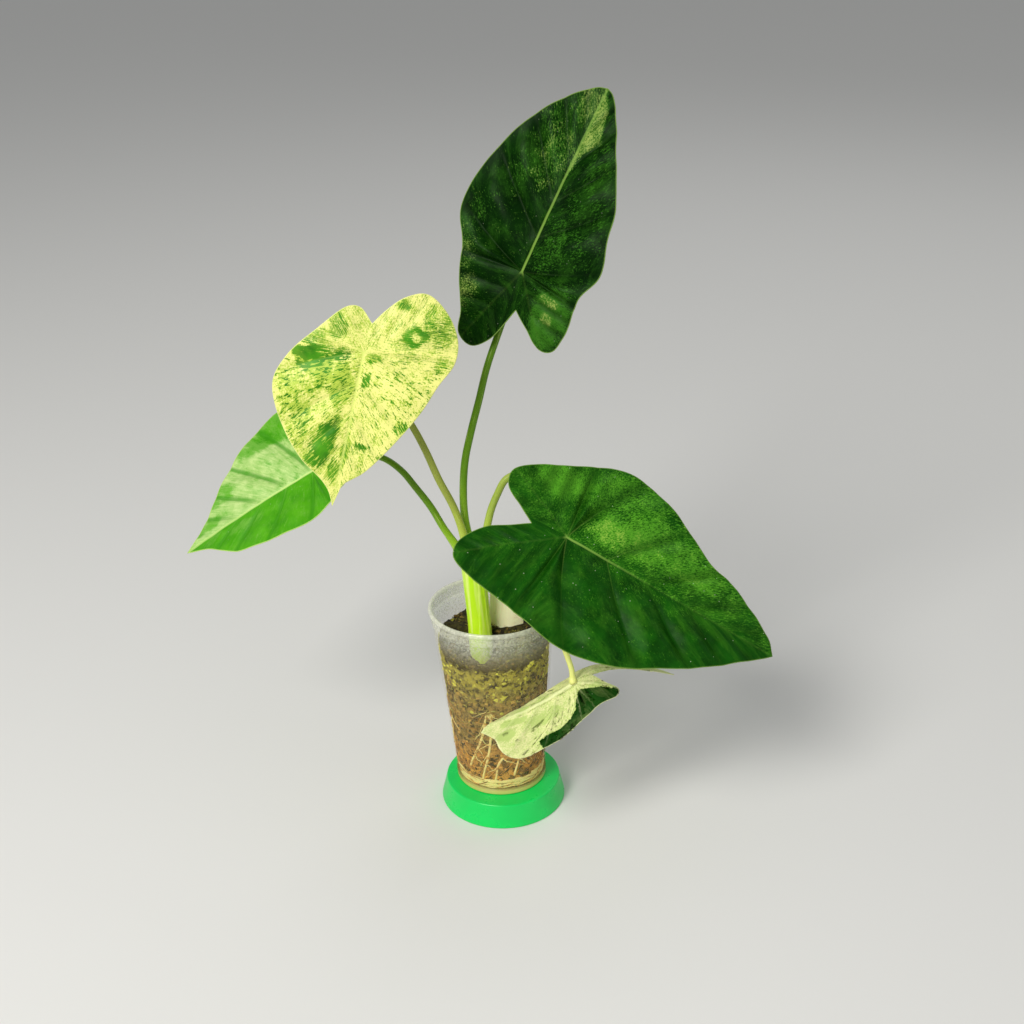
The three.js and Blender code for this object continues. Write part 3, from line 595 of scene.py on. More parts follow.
def stalk_epidermis(name, foot, middle, top, streak, streak_share, streak_mm=1.3):
    """Living stalk skin: juicy and satin, its colour changing from the sheath to the blade,
    with fine lengthwise streaks and shallow ridges."""
    material, tree = bare_material(name)
    skin = add(tree, "ShaderNodeAttribute", attribute_name="skin").outputs["Vector"]
    rise = add(tree, "ShaderNodeAttribute", attribute_name="rise").outputs["Fac"]
    lengthwise = add(tree, "ShaderNodeMapping", {"Vector": skin, "Scale": (1, 1, 0.05)}).outputs[0]
    streaks = add(tree, "ShaderNodeTexNoise", {
        "Vector": lengthwise, "Scale": 1 / streak_mm, "Detail": 3, "Roughness": 0.55})
    specks = add(tree, "ShaderNodeTexNoise", {"Vector": skin, "Scale": 1 / 1.1, "Detail": 2})
    lower = add(tree, "ShaderNodeMapRange", {"Value": rise, 1: 0.0, 2: 0.3})
    upper = add(tree, "ShaderNodeMapRange", {"Value": rise, 1: 0.3, 2: 1.0})
    one = add(tree, "ShaderNodeMix", {0: lower.outputs[0], 6: linear(foot), 7: linear(middle)}, data_type="RGBA")
    two = add(tree, "ShaderNodeMix", {0: upper.outputs[0], 6: one.outputs[2], 7: linear(top)}, data_type="RGBA")
    pale = add(tree, "ShaderNodeMapRange", {
        "Value": streaks.outputs["Fac"], 1: 0.7 - streak_share, 2: 0.88 - streak_share, 3: 0.0, 4: 0.7})
    three = add(tree, "ShaderNodeMix", {0: pale.outputs[0], 6: two.outputs[2], 7: linear(streak)}, data_type="RGBA")
    fleck = add(tree, "ShaderNodeMapRange", {"Value": specks.outputs["Fac"], 1: 0.62, 2: 0.72, 3: 0.0, 4: 0.35})
    four = add(tree, "ShaderNodeMix", {0: fleck.outputs[0], 6: three.outputs[2], 7: linear(middle)},
               data_type="RGBA")
    bump = add(tree, "ShaderNodeBump", {"Height": streaks.outputs["Fac"], "Distance": 0.25 * MM, "Strength": 0.35})
    shader = add(tree, "ShaderNodeBsdfPrincipled", {
        "Base Color": four.outputs[2], "Roughness": 0.36, "Normal": bump.outputs[0], "IOR": 1.42,
        "Specular IOR Level": 0.3,
        "Subsurface Weight": 0.15, "Subsurface Radius": (0.8, 1.0, 0.2), "Subsurface Scale": 0.002,
    })
    add(tree, "ShaderNodeOutputMaterial", {"Surface": shader.outputs[0]})
    return material


def root_skin():
    """Young water roots: waxy cream-yellow, a little see-through, browned in places."""
    material, tree = bare_material("waxy_root_skin")
    skin = add(tree, "ShaderNodeAttribute", attribute_name="skin").outputs["Vector"]
    stained = add(tree, "ShaderNodeTexNoise", {"Vector": skin, "Scale": 1 / 5, "Detail": 3, "Roughness": 0.7})
    stain = add(tree, "ShaderNodeMapRange", {"Value": stained.outputs["Fac"], 1: 0.5, 2: 0.8, 3: 0.0, 4: 0.6})
    tone = add(tree, "ShaderNodeMix", {0: stain.outputs[0], 6: linear(0xF6E48E), 7: linear(0xC49A4C)},
               data_type="RGBA")
    bump = add(tree, "ShaderNodeBump", {"Height": stained.outputs["Fac"], "Distance": 0.3 * MM, "Strength": 0.4})
    shader = add(tree, "ShaderNodeBsdfPrincipled", {
        "Base Color": tone.outputs[2], "Roughness": 0.42, "Normal": bump.outputs[0],
        "Subsurface Weight": 0.2, "Subsurface Scale": 0.002,
    })
    add(tree, "ShaderNodeOutputMaterial", {"Surface": shader.outputs[0]})
    return material


def dried_sheath_paper():
    """A dead leaf sheath: papery cream, fibres running up it, brown in blots that gather towards its foot."""
    material, tree = bare_material("dried_sheath_paper")
    flat = add(tree, "ShaderNodeAttribute", attribute_name="flat").outputs["Vector"]
    rise = add(tree, "ShaderNodeAttribute", attribute_name="rise").outputs["Fac"]
    upright = add(tree, "ShaderNodeMapping", {"Vector": flat, "Scale": (1, 0.06, 1)}).outputs[0]
    fibres = add(tree, "ShaderNodeTexNoise", {"Vector": upright, "Scale": 1 / 0.9, "Detail": 4})
    blots = add(tree, "ShaderNodeTexNoise", {"Vector": flat, "Scale": 1 / 5, "Detail": 4, "Roughness": 0.65})
    tone = add(tree, "ShaderNodeMix", {0: fibres.outputs["Fac"], 6: linear(0xFFFFD6), 7: linear(0xF8E8BC)},
               data_type="RGBA")
    low = add(tree, "ShaderNodeMapRange", {"Value": rise, 1: 0.35, 2: 0.0, 3: 0.0, 4: 0.35})
    stain = add(tree, "ShaderNodeMath", {0: blots.outputs["Fac"], 1: low.outputs[0]}, operation="ADD")
    brown = add(tree, "ShaderNodeMapRange", {"Value": stain.outputs[0], 1: 0.58, 2: 0.9, 3: 0.0, 4: 0.8})
    stained = add(tree, "ShaderNodeMix", {0: brown.outputs[0], 6: tone.outputs[2], 7: linear(0xB08A5C)},
                  data_type="RGBA")
    bump = add(tree, "ShaderNodeBump", {"Height": fibres.outputs["Fac"], "Distance": 0.25 * MM, "Strength": 0.6})
    shader = add(tree, "ShaderNodeBsdfPrincipled", {
        "Base Color": stained.outputs[2], "Roughness": 0.68, "Normal": bump.outputs[0],
        "Subsurface Weight": 0.12, "Subsurface Scale": 0.002,
    })
    add(tree, "ShaderNodeOutputMaterial", {"Surface": shader.outputs[0]})
    return material


def waxed_leaf_cuticle(leaf):
    """A living aroid leaf: clear wax over green cells. Deep and soft green lie over a pale
    ground in flecks that follow the side veins, the veins and the thin margin are paler."""
    material, tree = bare_material(f"waxed_leaf_cuticle_{leaf['name']}")
    colours = {key: linear(code) for key, code in leaf["colours"].items()}
    flat = add(tree, "ShaderNodeAttribute", attribute_name="flat").outputs["Vector"]
    grain = add(tree, "ShaderNodeAttribute", attribute_name="grain").outputs["Vector"]
    across = 1 / leaf.get("fleck_mm", 1)
    along = across / leaf.get("stretch", 1)
    brushed = add(tree, "ShaderNodeMapping", {"Vector": grain, "Scale": (along, across, 1)}).outputs[0]
    count = add(tree, "ShaderNodeAttribute", attribute_name="count").outputs["Fac"]
    spacing = add(tree, "ShaderNodeAttribute", attribute_name="spacing").outputs["Fac"]
    rib = add(tree, "ShaderNodeAttribute", attribute_name="rib").outputs["Fac"]
    margin = add(tree, "ShaderNodeAttribute", attribute_name="margin").outputs["Fac"]
    deep = add(tree, "ShaderNodeAttribute", attribute_name="deep").outputs["Fac"]
    wash = add(tree, "ShaderNodeAttribute", attribute_name="wash").outputs["Fac"]
    under = add(tree, "ShaderNodeAttribute", attribute_name="under").outputs["Fac"]
    line_share = add(tree, "ShaderNodeAttribute", attribute_name="line").outputs["Fac"]

    # Flecks 1 mm across and 3 mm along the veins, single cells, and clouds of 8 mm
    flecks = add(tree, "ShaderNodeTexNoise", {
        "Vector": brushed, "Scale": 1.0, "Detail": 4, "Roughness": 0.62, "Distortion": 0.7})
    cells = add(tree, "ShaderNodeTexNoise", {"Vector": flat, "Scale": 1 / 1.2, "Detail": 2})
    clouds = add(tree, "ShaderNodeTexNoise", {"Vector": flat, "Scale": 1 / 8, "Detail": 3})
    drift = add(tree, "ShaderNodeTexNoise", {"Vector": flat, "Scale": 1 / 18, "Detail": 5, "Roughness": 0.6})
    contrast = leaf.get("contrast", 1)
    marked = add(tree, "ShaderNodeMath", {0: flecks.outputs["Fac"], 1: contrast}, operation="MULTIPLY")
    fine = add(tree, "ShaderNodeMath", {0: cells.outputs["Fac"], 1: 0.35, 2: marked.outputs[0]},
               operation="MULTIPLY_ADD")
    pattern = add(tree, "ShaderNodeMath", {0: clouds.outputs["Fac"], 1: 0.45, 2: fine.outputs[0]},
                  operation="MULTIPLY_ADD")
    deep_sum = add(tree, "ShaderNodeMath", {0: deep, 1: 0.95, 2: pattern.outputs[0]}, operation="MULTIPLY_ADD")
    middle, blur = 0.88 + contrast / 2, leaf["blur"]
    deep_share = add(tree, "ShaderNodeMapRange", {
        "Value": deep_sum.outputs[0], 1: middle - blur, 2: middle + blur}, interpolation_type="SMOOTHSTEP")
    cloudy = add(tree, "ShaderNodeMath", {0: clouds.outputs["Fac"], 1: 0.6}, operation="MULTIPLY")
    speckle = leaf.get("cells", 0.7)
    veil = add(tree, "ShaderNodeMath", {0: cells.outputs["Fac"], 1: speckle, 2: cloudy.outputs[0]},
               operation="MULTIPLY_ADD")
    veiled = add(tree, "ShaderNodeMath", {0: flecks.outputs["Fac"], 1: 0.7, 2: veil.outputs[0]},
                 operation="MULTIPLY_ADD")
    wash_sum = add(tree, "ShaderNodeMath", {0: wash, 1: 1.0, 2: veiled.outputs[0]}, operation="MULTIPLY_ADD")
    middle, blur = 1.12 + speckle / 2, leaf.get("veil", 0.15)
    wash_share = add(tree, "ShaderNodeMapRange", {"Value": wash_sum.outputs[0], 1: middle - blur, 2: middle + blur})

    ground = add(tree, "ShaderNodeMix", {0: wash_share.outputs[0], 6: colours["pale"], 7: colours["wash"]},
                 data_type="RGBA")
    depth = add(tree, "ShaderNodeMapRange", {"Value": drift.outputs["Fac"], 1: 0.35, 2: 0.7})
    green = add(tree, "ShaderNodeMix", {0: depth.outputs[0], 6: colours["deep"], 7: colours["dim"]},
                data_type="RGBA")
    # Lighter and darker patches within the green, drawn out along the side veins; the lighter ones are partly the
    # leaf's own mottling and partly painted sheen, standing in for soft highlights on the pillows
    drawn = add(tree, "ShaderNodeMapping", {"Vector": grain, "Scale": (0.16, 0.075, 1)}).outputs[0]
    mottled = add(tree, "ShaderNodeTexNoise", {
        "Vector": drawn, "Scale": 1.0, "Detail": 8, "Roughness": 0.72, "Distortion": 0.5})
    mottle_and_sheen = add(tree, "ShaderNodeMapRange", {
        "Value": mottled.outputs["Fac"], 1: 0.47, 2: 0.72, 3: 0.0, 4: leaf.get("mottle_and_sheen", 0.2)})
    lit_green = add(tree, "ShaderNodeMix", {0: mottle_and_sheen.outputs[0], 6: green.outputs[2], 7: colours["wash"]},
                    data_type="RGBA")
    painted = add(tree, "ShaderNodeMix", {0: deep_share.outputs[0], 6: ground.outputs[2], 7: lit_green.outputs[2]},
                  data_type="RGBA")

    # Distance from the nearest side vein, from the count of veins and their spacing
    shifted = add(tree, "ShaderNodeMath", {0: count, 1: 0.5}, operation="ADD")
    phase = add(tree, "ShaderNodeMath", {0: shifted.outputs[0]}, operation="FRACT")
    off = add(tree, "ShaderNodeMath", {0: phase.outputs[0], 1: 0.5}, operation="SUBTRACT")
    away = add(tree, "ShaderNodeMath", {0: off.outputs[0]}, operation="ABSOLUTE")
    from_vein = add(tree, "ShaderNodeMath", {0: away.outputs[0], 1: spacing}, operation="MULTIPLY")
    # Painted shade: near each side vein, and away from the midrib, the colour darkens towards the dim green, standing
    # in for the shade that falls in the furrows
    shade = add(tree, "ShaderNodeMapRange", {
        "Value": from_vein.outputs[0], 1: 0.3, 2: leaf.get("shade_mm", 3.4), 3: leaf.get("shaded_veins", 0.3), 4: 0.0},
        interpolation_type="SMOOTHSTEP")
    off_rib = add(tree, "ShaderNodeMapRange", {"Value": rib, 1: 1.5, 2: 9})
    shaded = add(tree, "ShaderNodeMath", {0: shade.outputs[0], 1: off_rib.outputs[0]}, operation="MULTIPLY")
    furrow_shaded = add(tree, "ShaderNodeMix", {0: shaded.outputs[0], 6: painted.outputs[2], 7: colours["dim"]},
                   data_type="RGBA")
    side_line = add(tree, "ShaderNodeMapRange", {
        "Value": from_vein.outputs[0], 1: 0.18, 2: 0.65, 3: leaf["vein_line"], 4: 0.0})
    side_fade = add(tree, "ShaderNodeMapRange", {"Value": rib, 1: 2, 2: 34, 3: 1.0, 4: 0.1})
    side_front = add(tree, "ShaderNodeMapRange", {"Value": count, 1: -1.3, 2: -0.7, 3: 0.3, 4: 1.0})
    fading = add(tree, "ShaderNodeMath", {0: side_fade.outputs[0], 1: line_share}, operation="MULTIPLY")
    faded = add(tree, "ShaderNodeMath", {0: side_line.outputs[0], 1: fading.outputs[0]}, operation="MULTIPLY")
    side = add(tree, "ShaderNodeMath", {0: faded.outputs[0], 1: side_front.outputs[0]}, operation="MULTIPLY")
    main = add(tree, "ShaderNodeMapRange", {"Value": rib, 1: 0.5, 2: 1.15, 3: 0.9, 4: 0.0})
    midrib = add(tree, "ShaderNodeMath", {0: main.outputs[0], 1: line_share}, operation="MULTIPLY")
    line = add(tree, "ShaderNodeMath", {0: midrib.outputs[0], 1: side.outputs[0]}, operation="MAXIMUM")
    veined = add(tree, "ShaderNodeMix", {0: line.outputs[0], 6: furrow_shaded.outputs[2], 7: colours["vein"]},
                 data_type="RGBA")
    edge = add(tree, "ShaderNodeMapRange", {"Value": margin, 1: 0.15, 2: 0.75, 3: 0.8, 4: 0.0})
    edged = add(tree, "ShaderNodeMix", {0: edge.outputs[0], 6: veined.outputs[2], 7: colours["margin"]},
                data_type="RGBA")
    turned_over = add(tree, "ShaderNodeMath", {0: under, 1: 0.0 if leaf.get("bare_underside") else 0.55},
                      operation="MULTIPLY")
    faced = add(tree, "ShaderNodeMix", {0: turned_over.outputs[0], 6: edged.outputs[2], 7: colours["under"]},
                data_type="RGBA")

    # A few specks of dust and old droplets, 0.5 mm across
    dust = add(tree, "ShaderNodeTexVoronoi", {"Vector": flat, "Scale": 1 / 6.5, "Randomness": 1.0})
    speck = add(tree, "ShaderNodeMapRange", {
        "Value": dust.outputs["Distance"], 1: 0.04, 2: 0.07, 3: leaf["specks"], 4: 0.0})
    dusty = add(tree, "ShaderNodeMix", {0: speck.outputs[0], 6: faced.outputs[2], 7: linear(0xC8D4B4)},
                data_type="RGBA")

    # A net of the finest veins, cells between them and the sharp line in each furrow
    stretched = add(tree, "ShaderNodeMapping", {"Vector": grain, "Scale": (1.2, 0.3, 1)}).outputs[0]
    net = add(tree, "ShaderNodeTexVoronoi", {"Vector": stretched, "Scale": 0.8}, feature="DISTANCE_TO_EDGE")
    netted = add(tree, "ShaderNodeMapRange", {"Value": net.outputs["Distance"], 1: 0.0, 2: 0.12, 3: 0.0, 4: 0.3})
    leathery = add(tree, "ShaderNodeMath", {0: cells.outputs["Fac"], 1: 0.5, 2: netted.outputs[0]},
                   operation="MULTIPLY_ADD")
    relief = add(tree, "ShaderNodeMath", {0: side_line.outputs[0], 1: -0.8, 2: leathery.outputs[0]},
                 operation="MULTIPLY_ADD")
    bump = add(tree, "ShaderNodeBump", {"Height": relief.outputs[0], "Distance": 0.1 * MM, "Strength": 0.5})
    gloss = add(tree, "ShaderNodeMapRange", {"Value": clouds.outputs["Fac"], 1: 0.3, 2: 0.7, 3: 0.36, 4: 0.47})
    rough = add(tree, "ShaderNodeMath", {0: under, 1: 0.16, 2: gloss.outputs[0]}, operation="MULTIPLY_ADD")
    shader = add(tree, "ShaderNodeBsdfPrincipled", {
        "Base Color": dusty.outputs[2], "Roughness": rough.outputs[0], "Normal": bump.outputs[0], "IOR": 1.4,
        "Specular IOR Level": leaf.get("gloss", 0.3), "Specular Tint": (0.75, 1.0, 0.68, 1.0),
    })
    add(tree, "ShaderNodeOutputMaterial", {"Surface": shader.outputs[0]})
    return material


def seamless_paper(colour):
    """Matt studio paper, with a faint tooth so that it isn't a dead flat tone."""
    material, tree = bare_material("seamless_studio_paper")
    place = add(tree, "ShaderNodeTexCoord").outputs["Object"]
    tooth = add(tree, "ShaderNodeTexNoise", {"Vector": place, "Scale": 1 / (2 * MM), "Detail": 2})
    bump = add(tree, "ShaderNodeBump", {"Height": tooth.outputs["Fac"], "Distance": 0.05 * MM, "Strength": 0.2})
    shader = add(tree, "ShaderNodeBsdfPrincipled", {
        "Base Color": (*colour, 1.0), "Roughness": 0.9, "Normal": bump.outputs[0], "Specular IOR Level": 0.2,
    })
    add(tree, "ShaderNodeOutputMaterial", {"Surface": shader.outputs[0]})
    return material


# The form of a blade

def vein_count(leaf, x, y):
    """Which side vein a point of the flattened leaf lies on: whole numbers are veins."""
    side = abs(y)
    steeper = 1 + side * VEINS["added_slope"] / leaf["length"]
    start = (x - side * VEINS["first_slope"] - VEINS["bow"] * side * side) / steeper
    if start >= 0:
        return start * VEINS["per_blade"] / leaf["length"]
    lobe = math.radians(leaf["lobes"][0 if y > 0 else 1])
    outward = math.radians(VEINS["rear_heading"])
    before_rib = side * math.cos(lobe) < x * math.sin(lobe)
    heading = outward if before_rib else 2 * lobe - outward
    run = (x * math.sin(heading) - side * math.cos(heading)) / math.sin(heading - lobe)
    if not before_rib:
        run = abs(run)
    return -1 - run / VEINS["rear_step"] if run >= 0 else start / (-start - run)


def rib_distance(leaf, x, y):
    """How far a point of the flattened leaf is from the midrib or a lobe's rib."""
    side = abs(y)
    reach = math.hypot(x, y)
    lobe = math.radians(leaf["lobes"][0 if y > 0 else 1])
    along = x * math.cos(lobe) + side * math.sin(lobe)
    from_lobe = abs(x * math.sin(lobe) - side * math.cos(lobe)) if along > 0 else reach
    return min(side if x > 0 else reach, from_lobe)


def vein_spacing(leaf, x, y, count):
    """Distance between the side veins near a point, across them."""
    step = 0.25
    slope = math.hypot(vein_count(leaf, x + step, y) - count, vein_count(leaf, x, y + math.copysign(step, y)) - count)
    return min(step / max(slope, 1e-4), 40)


def pigment(leaf, x, y):
    """Shares of deep and of soft green at a point of the flattened leaf."""
    right = 1 if y < 0 else 0
    deep, wash = leaf["deep"][right], leaf["wash"][right]
    warp = noise.noise_vector(Vector((x, y, len(leaf["marks"]))) / 7) * 3
    u, v = x + warp.x, y + warp.y
    for cx, cy, rx, ry, more_deep, more_wash in leaf["marks"]:
        share = soft(1.25, 0.6, math.hypot((u - cx) / rx, (v - cy) / ry))
        deep += more_deep * share
        wash += more_wash * share
    for cx, cy, radius, width in leaf.get("rings", ()):
        share = soft(1.2, 0.4, abs(math.hypot(u - cx, v - cy) - radius) / width)
        deep += 0.34 * share
        wash += 0.2 * share
    for sector in leaf["sectors"]:
        depth = depth_within(sector["outline"], Vector((x + 0.4 * warp.x, y + 0.4 * warp.y)))
        share = soft(-1.3, 1.3, depth)
        deep, wash = mix(deep, sector["deep"], share), mix(wash, sector["wash"], share)
    return deep, wash


def depth_within(outline, point):
    """How far a point lies inside a closed outline, or outside as a negative number."""
    within = -1
    nearest = math.inf
    for a, b in zip(outline, outline[1:] + outline[:1]):
        a, b = Vector(a), Vector(b)
        if (a.y > point.y) != (b.y > point.y) and point.x < a.x + (point.y - a.y) * (b.x - a.x) / (b.y - a.y):
            within = -within
        share = min(max((point - a).dot(b - a) / (b - a).length_squared, 0), 1)
        nearest = min(nearest, (a.lerp(b, share) - point).length)
    return within * nearest


def blade_surface(leaf, x, y, count, from_vein, margin):
    """Where a point of the flattened leaf lies on the upper face, in the leaf's own frame."""
    fold = math.radians(leaf["fold"])
    rise = math.hypot(y, CREASE) - CREASE
    away = min(abs(y) / VEINS["onset"], 1.6)
    # The valleys are narrower than the pillows between them, and the margin lies smooth
    pillow = ((1 - math.cos(TURN * count)) / 2) ** 0.62
    calm = mix(0.25, 1, soft(0, 18, margin)) * mix(leaf.get("lobe_relief", 0.2), 1, soft(-1.6, -0.4, count))
    furrow = -0.5 * leaf["relief"] * away * (1 - 2 * pillow) * calm
    groove = 0.3 * math.exp(-(from_vein / 1.5) ** 2) * soft(0, 8, margin) * soft(0, 4, abs(y)) * calm
    gutter = 0.7 * math.exp(-(y / 1.5) ** 2) * soft(-4, 4, x) * (1 - 0.7 * max(x, 0) / leaf["length"])
    wave = (1.3 * noise.noise(Vector((x / 24, y / 24, leaf["length"]))) * soft(0, 14, abs(y))
            + 0.35 * noise.noise(Vector((x / 9, y / 9, leaf["back"]))))
    up = rise * math.sin(fold) - leaf["flare"] * y * y / leaf["half_width"] + furrow - groove - gutter + wave
    if x > 0:
        sag, sway = leaf["droop"] * x * x / leaf["length"], leaf["sway"] * x * x / leaf["length"]
    else:
        sag, sway = leaf["lobe_droop"] * x * x / leaf["back"], 0
    return Vector((x, y * math.cos(fold) + sway, up - sag))


def rib_swelling(leaf, x, y, rib, from_vein, margin):
    """How far the ribs and veins stand out of the underside."""
    reach = math.hypot(x, y) / leaf["length"]
    main = 1.5 * math.exp(-(rib / 1.5) ** 2) * max(1 - 0.85 * reach, 0.1)
    side = 0.55 * math.exp(-(from_vein / 0.9) ** 2) * soft(0, 10, margin)
    return (main + side) * soft(0, 3, margin)


def leaf_frame(leaf):
    """The matrix from the leaf's own frame, in millimetres, to the scene."""
    midrib = Vector(leaf["towards"]).normalized()
    facing = Vector(leaf["facing"])
    facing = (facing - midrib * facing.dot(midrib)).normalized()
    turn = Matrix((midrib, facing.cross(midrib), facing)).transposed().to_4x4()
    return Matrix.Scale(MM, 4) @ Matrix.Translation(leaf["attach"]) @ turn


def rim_points(leaf, count):
    """The outline as evenly placed points, with one on the tip, one on the rib of each lobe
    and one in the notch."""
    points = []
    for side, half in ((1, leaf["left"]), (-1, leaf["right"][::-1])):
        line = smooth_line(half)
        rib = math.radians(leaf["lobes"][0 if side > 0 else 1])
        split = next(i for i, p in enumerate(line) if math.atan2(side * p.y, p.x) >= rib)
        ahead = sum((b - a).length for a, b in zip(line[:split], line[1:split + 1]))
        behind = sum((b - a).length for a, b in zip(line[split:], line[split + 1:]))
        first = round(count / 2 * ahead / (ahead + behind))
        run = evenly(line[:split + 1], first + 1)[:-1] + evenly(line[split:], count // 2 - first + 1)
        points += run[:-1] if side > 0 else run[:0:-1]
    return points


def grow_blade(leaf, cell):
    """Makes a blade: a disc grown ring by ring, laid on the leaf's surface and thickened."""
    bm = bmesh.new()
    names = ("count", "spacing", "rib", "margin", "deep", "wash", "line", "under", "swell")
    layer = {name: bm.verts.layers.float.new(name) for name in names}
    flat = bm.verts.layers.float_vector.new("flat")
    grain = bm.verts.layers.float_vector.new("grain")
    around = 2 * round(2.4 * (leaf["length"] + leaf["back"]) / cell / 2)
    rings = round(leaf["length"] / cell)
    ring = bmesh.ops.create_circle(bm, cap_ends=True, cap_tris=True, segments=around, radius=1)["verts"]
    edges = [e for e in bm.edges if e.is_boundary]
    for step in range(2, rings + 1):
        made = bmesh.ops.extrude_edge_only(bm, edges=edges)["geom"]
        edges = [g for g in made if isinstance(g, bmesh.types.BMEdge) and g.is_boundary]
        ring = [g for g in made if isinstance(g, bmesh.types.BMVert)]
        bmesh.ops.scale(bm, vec=(step / (step - 1),) * 3, verts=ring)

    rim = rim_points(leaf, around)
    slants = []
    for a, b, c in zip(rim[-1:] + rim[:-1], rim, rim[1:] + rim[:1]):
        edge = (c - a).normalized()
        slants.append(abs(b.x * edge.y - b.y * edge.x))
    to_scene = leaf_frame(leaf)
    for v in bm.verts:
        share = v.co.length / rings
        i = round(math.atan2(v.co.y, v.co.x) / TURN * around) % around
        x, y = rim[i].x * share, rim[i].y * share
        count = vein_count(leaf, x, y)
        spacing = vein_spacing(leaf, x, y, count)
        rib = rib_distance(leaf, x, y)
        margin = (1 - share) * slants[i]
        from_vein = abs(count - round(count)) * spacing
        v[layer["count"]] = count
        v[layer["spacing"]] = spacing
        v[layer["rib"]] = rib
        v[layer["margin"]] = margin
        v[layer["deep"]], v[layer["wash"]] = pigment(leaf, x, y)
        along = min(max(x, 0) / leaf["length"] / leaf.get("line_reach", 1), 1)
        v[layer["line"]] = mix(leaf["lobe_line"], 1 - leaf["line_fade"] * along, soft(-3, 1, x))
        v[layer["swell"]] = rib_swelling(leaf, x, y, rib, from_vein, margin)
        v[flat] = (x, y, 0)
        v[grain] = (rib / 3, count * leaf["length"] / VEINS["per_blade"], 0)
        v.co = to_scene @ blade_surface(leaf, x, y, count, from_vein, margin)
    bm.normal_update()
    number = bm.verts.layers.int.new("number")
    upper = []
    for i, v in enumerate(bm.verts):
        v[number] = i
        upper.append((v.co.copy(), v.normal.copy()))
    bmesh.ops.solidify(bm, geom=bm.faces[:], thickness=THICKNESS * MM)
    for v in list(bm.verts)[len(upper):]:
        top, normal = upper[v[number]]
        v[layer["under"]] = 1
        v.co = top - normal * (THICKNESS + v[layer["swell"]]) * MM
    return bm


def grow_stalk(leaf):
    """Makes a stalk: round, widening into its sheath."""
    path = leaf["stalk"]["path"]
    to_scene = leaf_frame(leaf)
    back, run = leaf.get("join", JOIN["bend"])
    before = to_scene @ Vector((-back, 0, -run)) / MM
    top = to_scene @ Vector((0, 0, -JOIN["depth"])) / MM
    count = 110
    centres = evenly(smooth_line([*path, before, top]), count)
    radii = []
    for i in range(count):
        share = i / (count - 1)
        sheath = 1.7 * (1 - soft(0.03, 0.2, share))
        collar = 0.9 * soft(0.96, 1, share)
        buried = mix(0.4, 1, soft(-0.02, 0.07, share))
        radii.append((along_list(leaf["stalk"]["radii"], share) + sheath * 0.5 + collar) * buried)
    bm = bmesh.new()
    rise = bm.verts.layers.float.new("rise")
    rings = tube(bm, centres, radii, 28)
    for i, ring in enumerate(rings):
        for v in ring:
            v[rise] = i / (count - 1)
    return bm


# Settings that a user would change

class PotSettings(bpy.types.PropertyGroup):
    green: bpy.props.FloatVectorProperty(
        name="Base colour", description="Colour of the green plastic base, sRGB linearised", subtype="COLOR",
        size=3, min=0, max=1, default=linear(0x00E262)[:3])
    haze: bpy.props.FloatProperty(
        name="Cup haze", description="How much of the light the frosted wall stops", subtype="FACTOR",
        min=0.05, max=0.35, default=0.19)
    facets: bpy.props.IntProperty(
        name="Facets", description="Steps round the turned pieces", min=32, max=256, default=144)


class FillingSettings(bpy.types.PropertyGroup):
    seed: bpy.props.IntProperty(name="Seed", description="Start of the random draws", default=11)
    chips: bpy.props.IntProperty(name="Bark chips", description="Number of bark chips", default=1300)
    tufts: bpy.props.IntProperty(name="Moss tufts", description="Number of moss tufts", default=560)
    strands: bpy.props.IntProperty(name="Moss strands", description="Number of moss strands", default=1300)
    fibres: bpy.props.IntProperty(name="Fibres", description="Number of loose fibres", default=260)


class FoliageSettings(bpy.types.PropertyGroup):
    cell: bpy.props.FloatProperty(
        name="Mesh cell", description="Size of a blade's mesh cells in millimetres", min=1, max=6, default=1.5)


class StageSettings(bpy.types.PropertyGroup):
    floor: bpy.props.FloatVectorProperty(
        name="Floor colour", description="Colour of the paper floor", subtype="COLOR", size=3, min=0, max=1,
        default=linear(0xE4E4E1)[:3])
    key: bpy.props.FloatProperty(
        name="Key light", description="Power of the main soft light", unit="POWER", min=0, default=48)


# Operators, one for each piece or group of like pieces

class ALOCASIA_OT_base(bpy.types.Operator):
    """Turn the green base that the cup stands on"""
    bl_idname = "alocasia.base"
    bl_label = "Green base"

    def execute(self, context):
        pot = context.scene.alocasia_pot
        foot, top, height, fillet = (BASE[k] for k in ("foot_radius", "top_radius", "height", "fillet"))
        rounded = []
        for i in range(9):
            turn = math.pi / 2 * i / 8
            rounded.append((top - fillet + fillet * math.cos(turn), height - fillet + fillet * math.sin(turn)))
        bm = lathe([
            (0, 1.2), (foot - 5.2, 1.2), (foot - 4.2, 0), (foot - 0.9, 0), (foot - 0.2, 0.3), (foot, 0.9),
            (foot - 0.5, 2.6), *rounded, (top - 4.5, height - 0.05), (CUP["foot_radius"] + 2, height - 0.1),
            (CUP["foot_radius"] - 1, height), (0, height),
        ], pot.facets, crisp=0.6)
        set_down(bm, "moulded_base", moulded_polypropylene(pot.green), "green_plastic", "base")
        return {"FINISHED"}


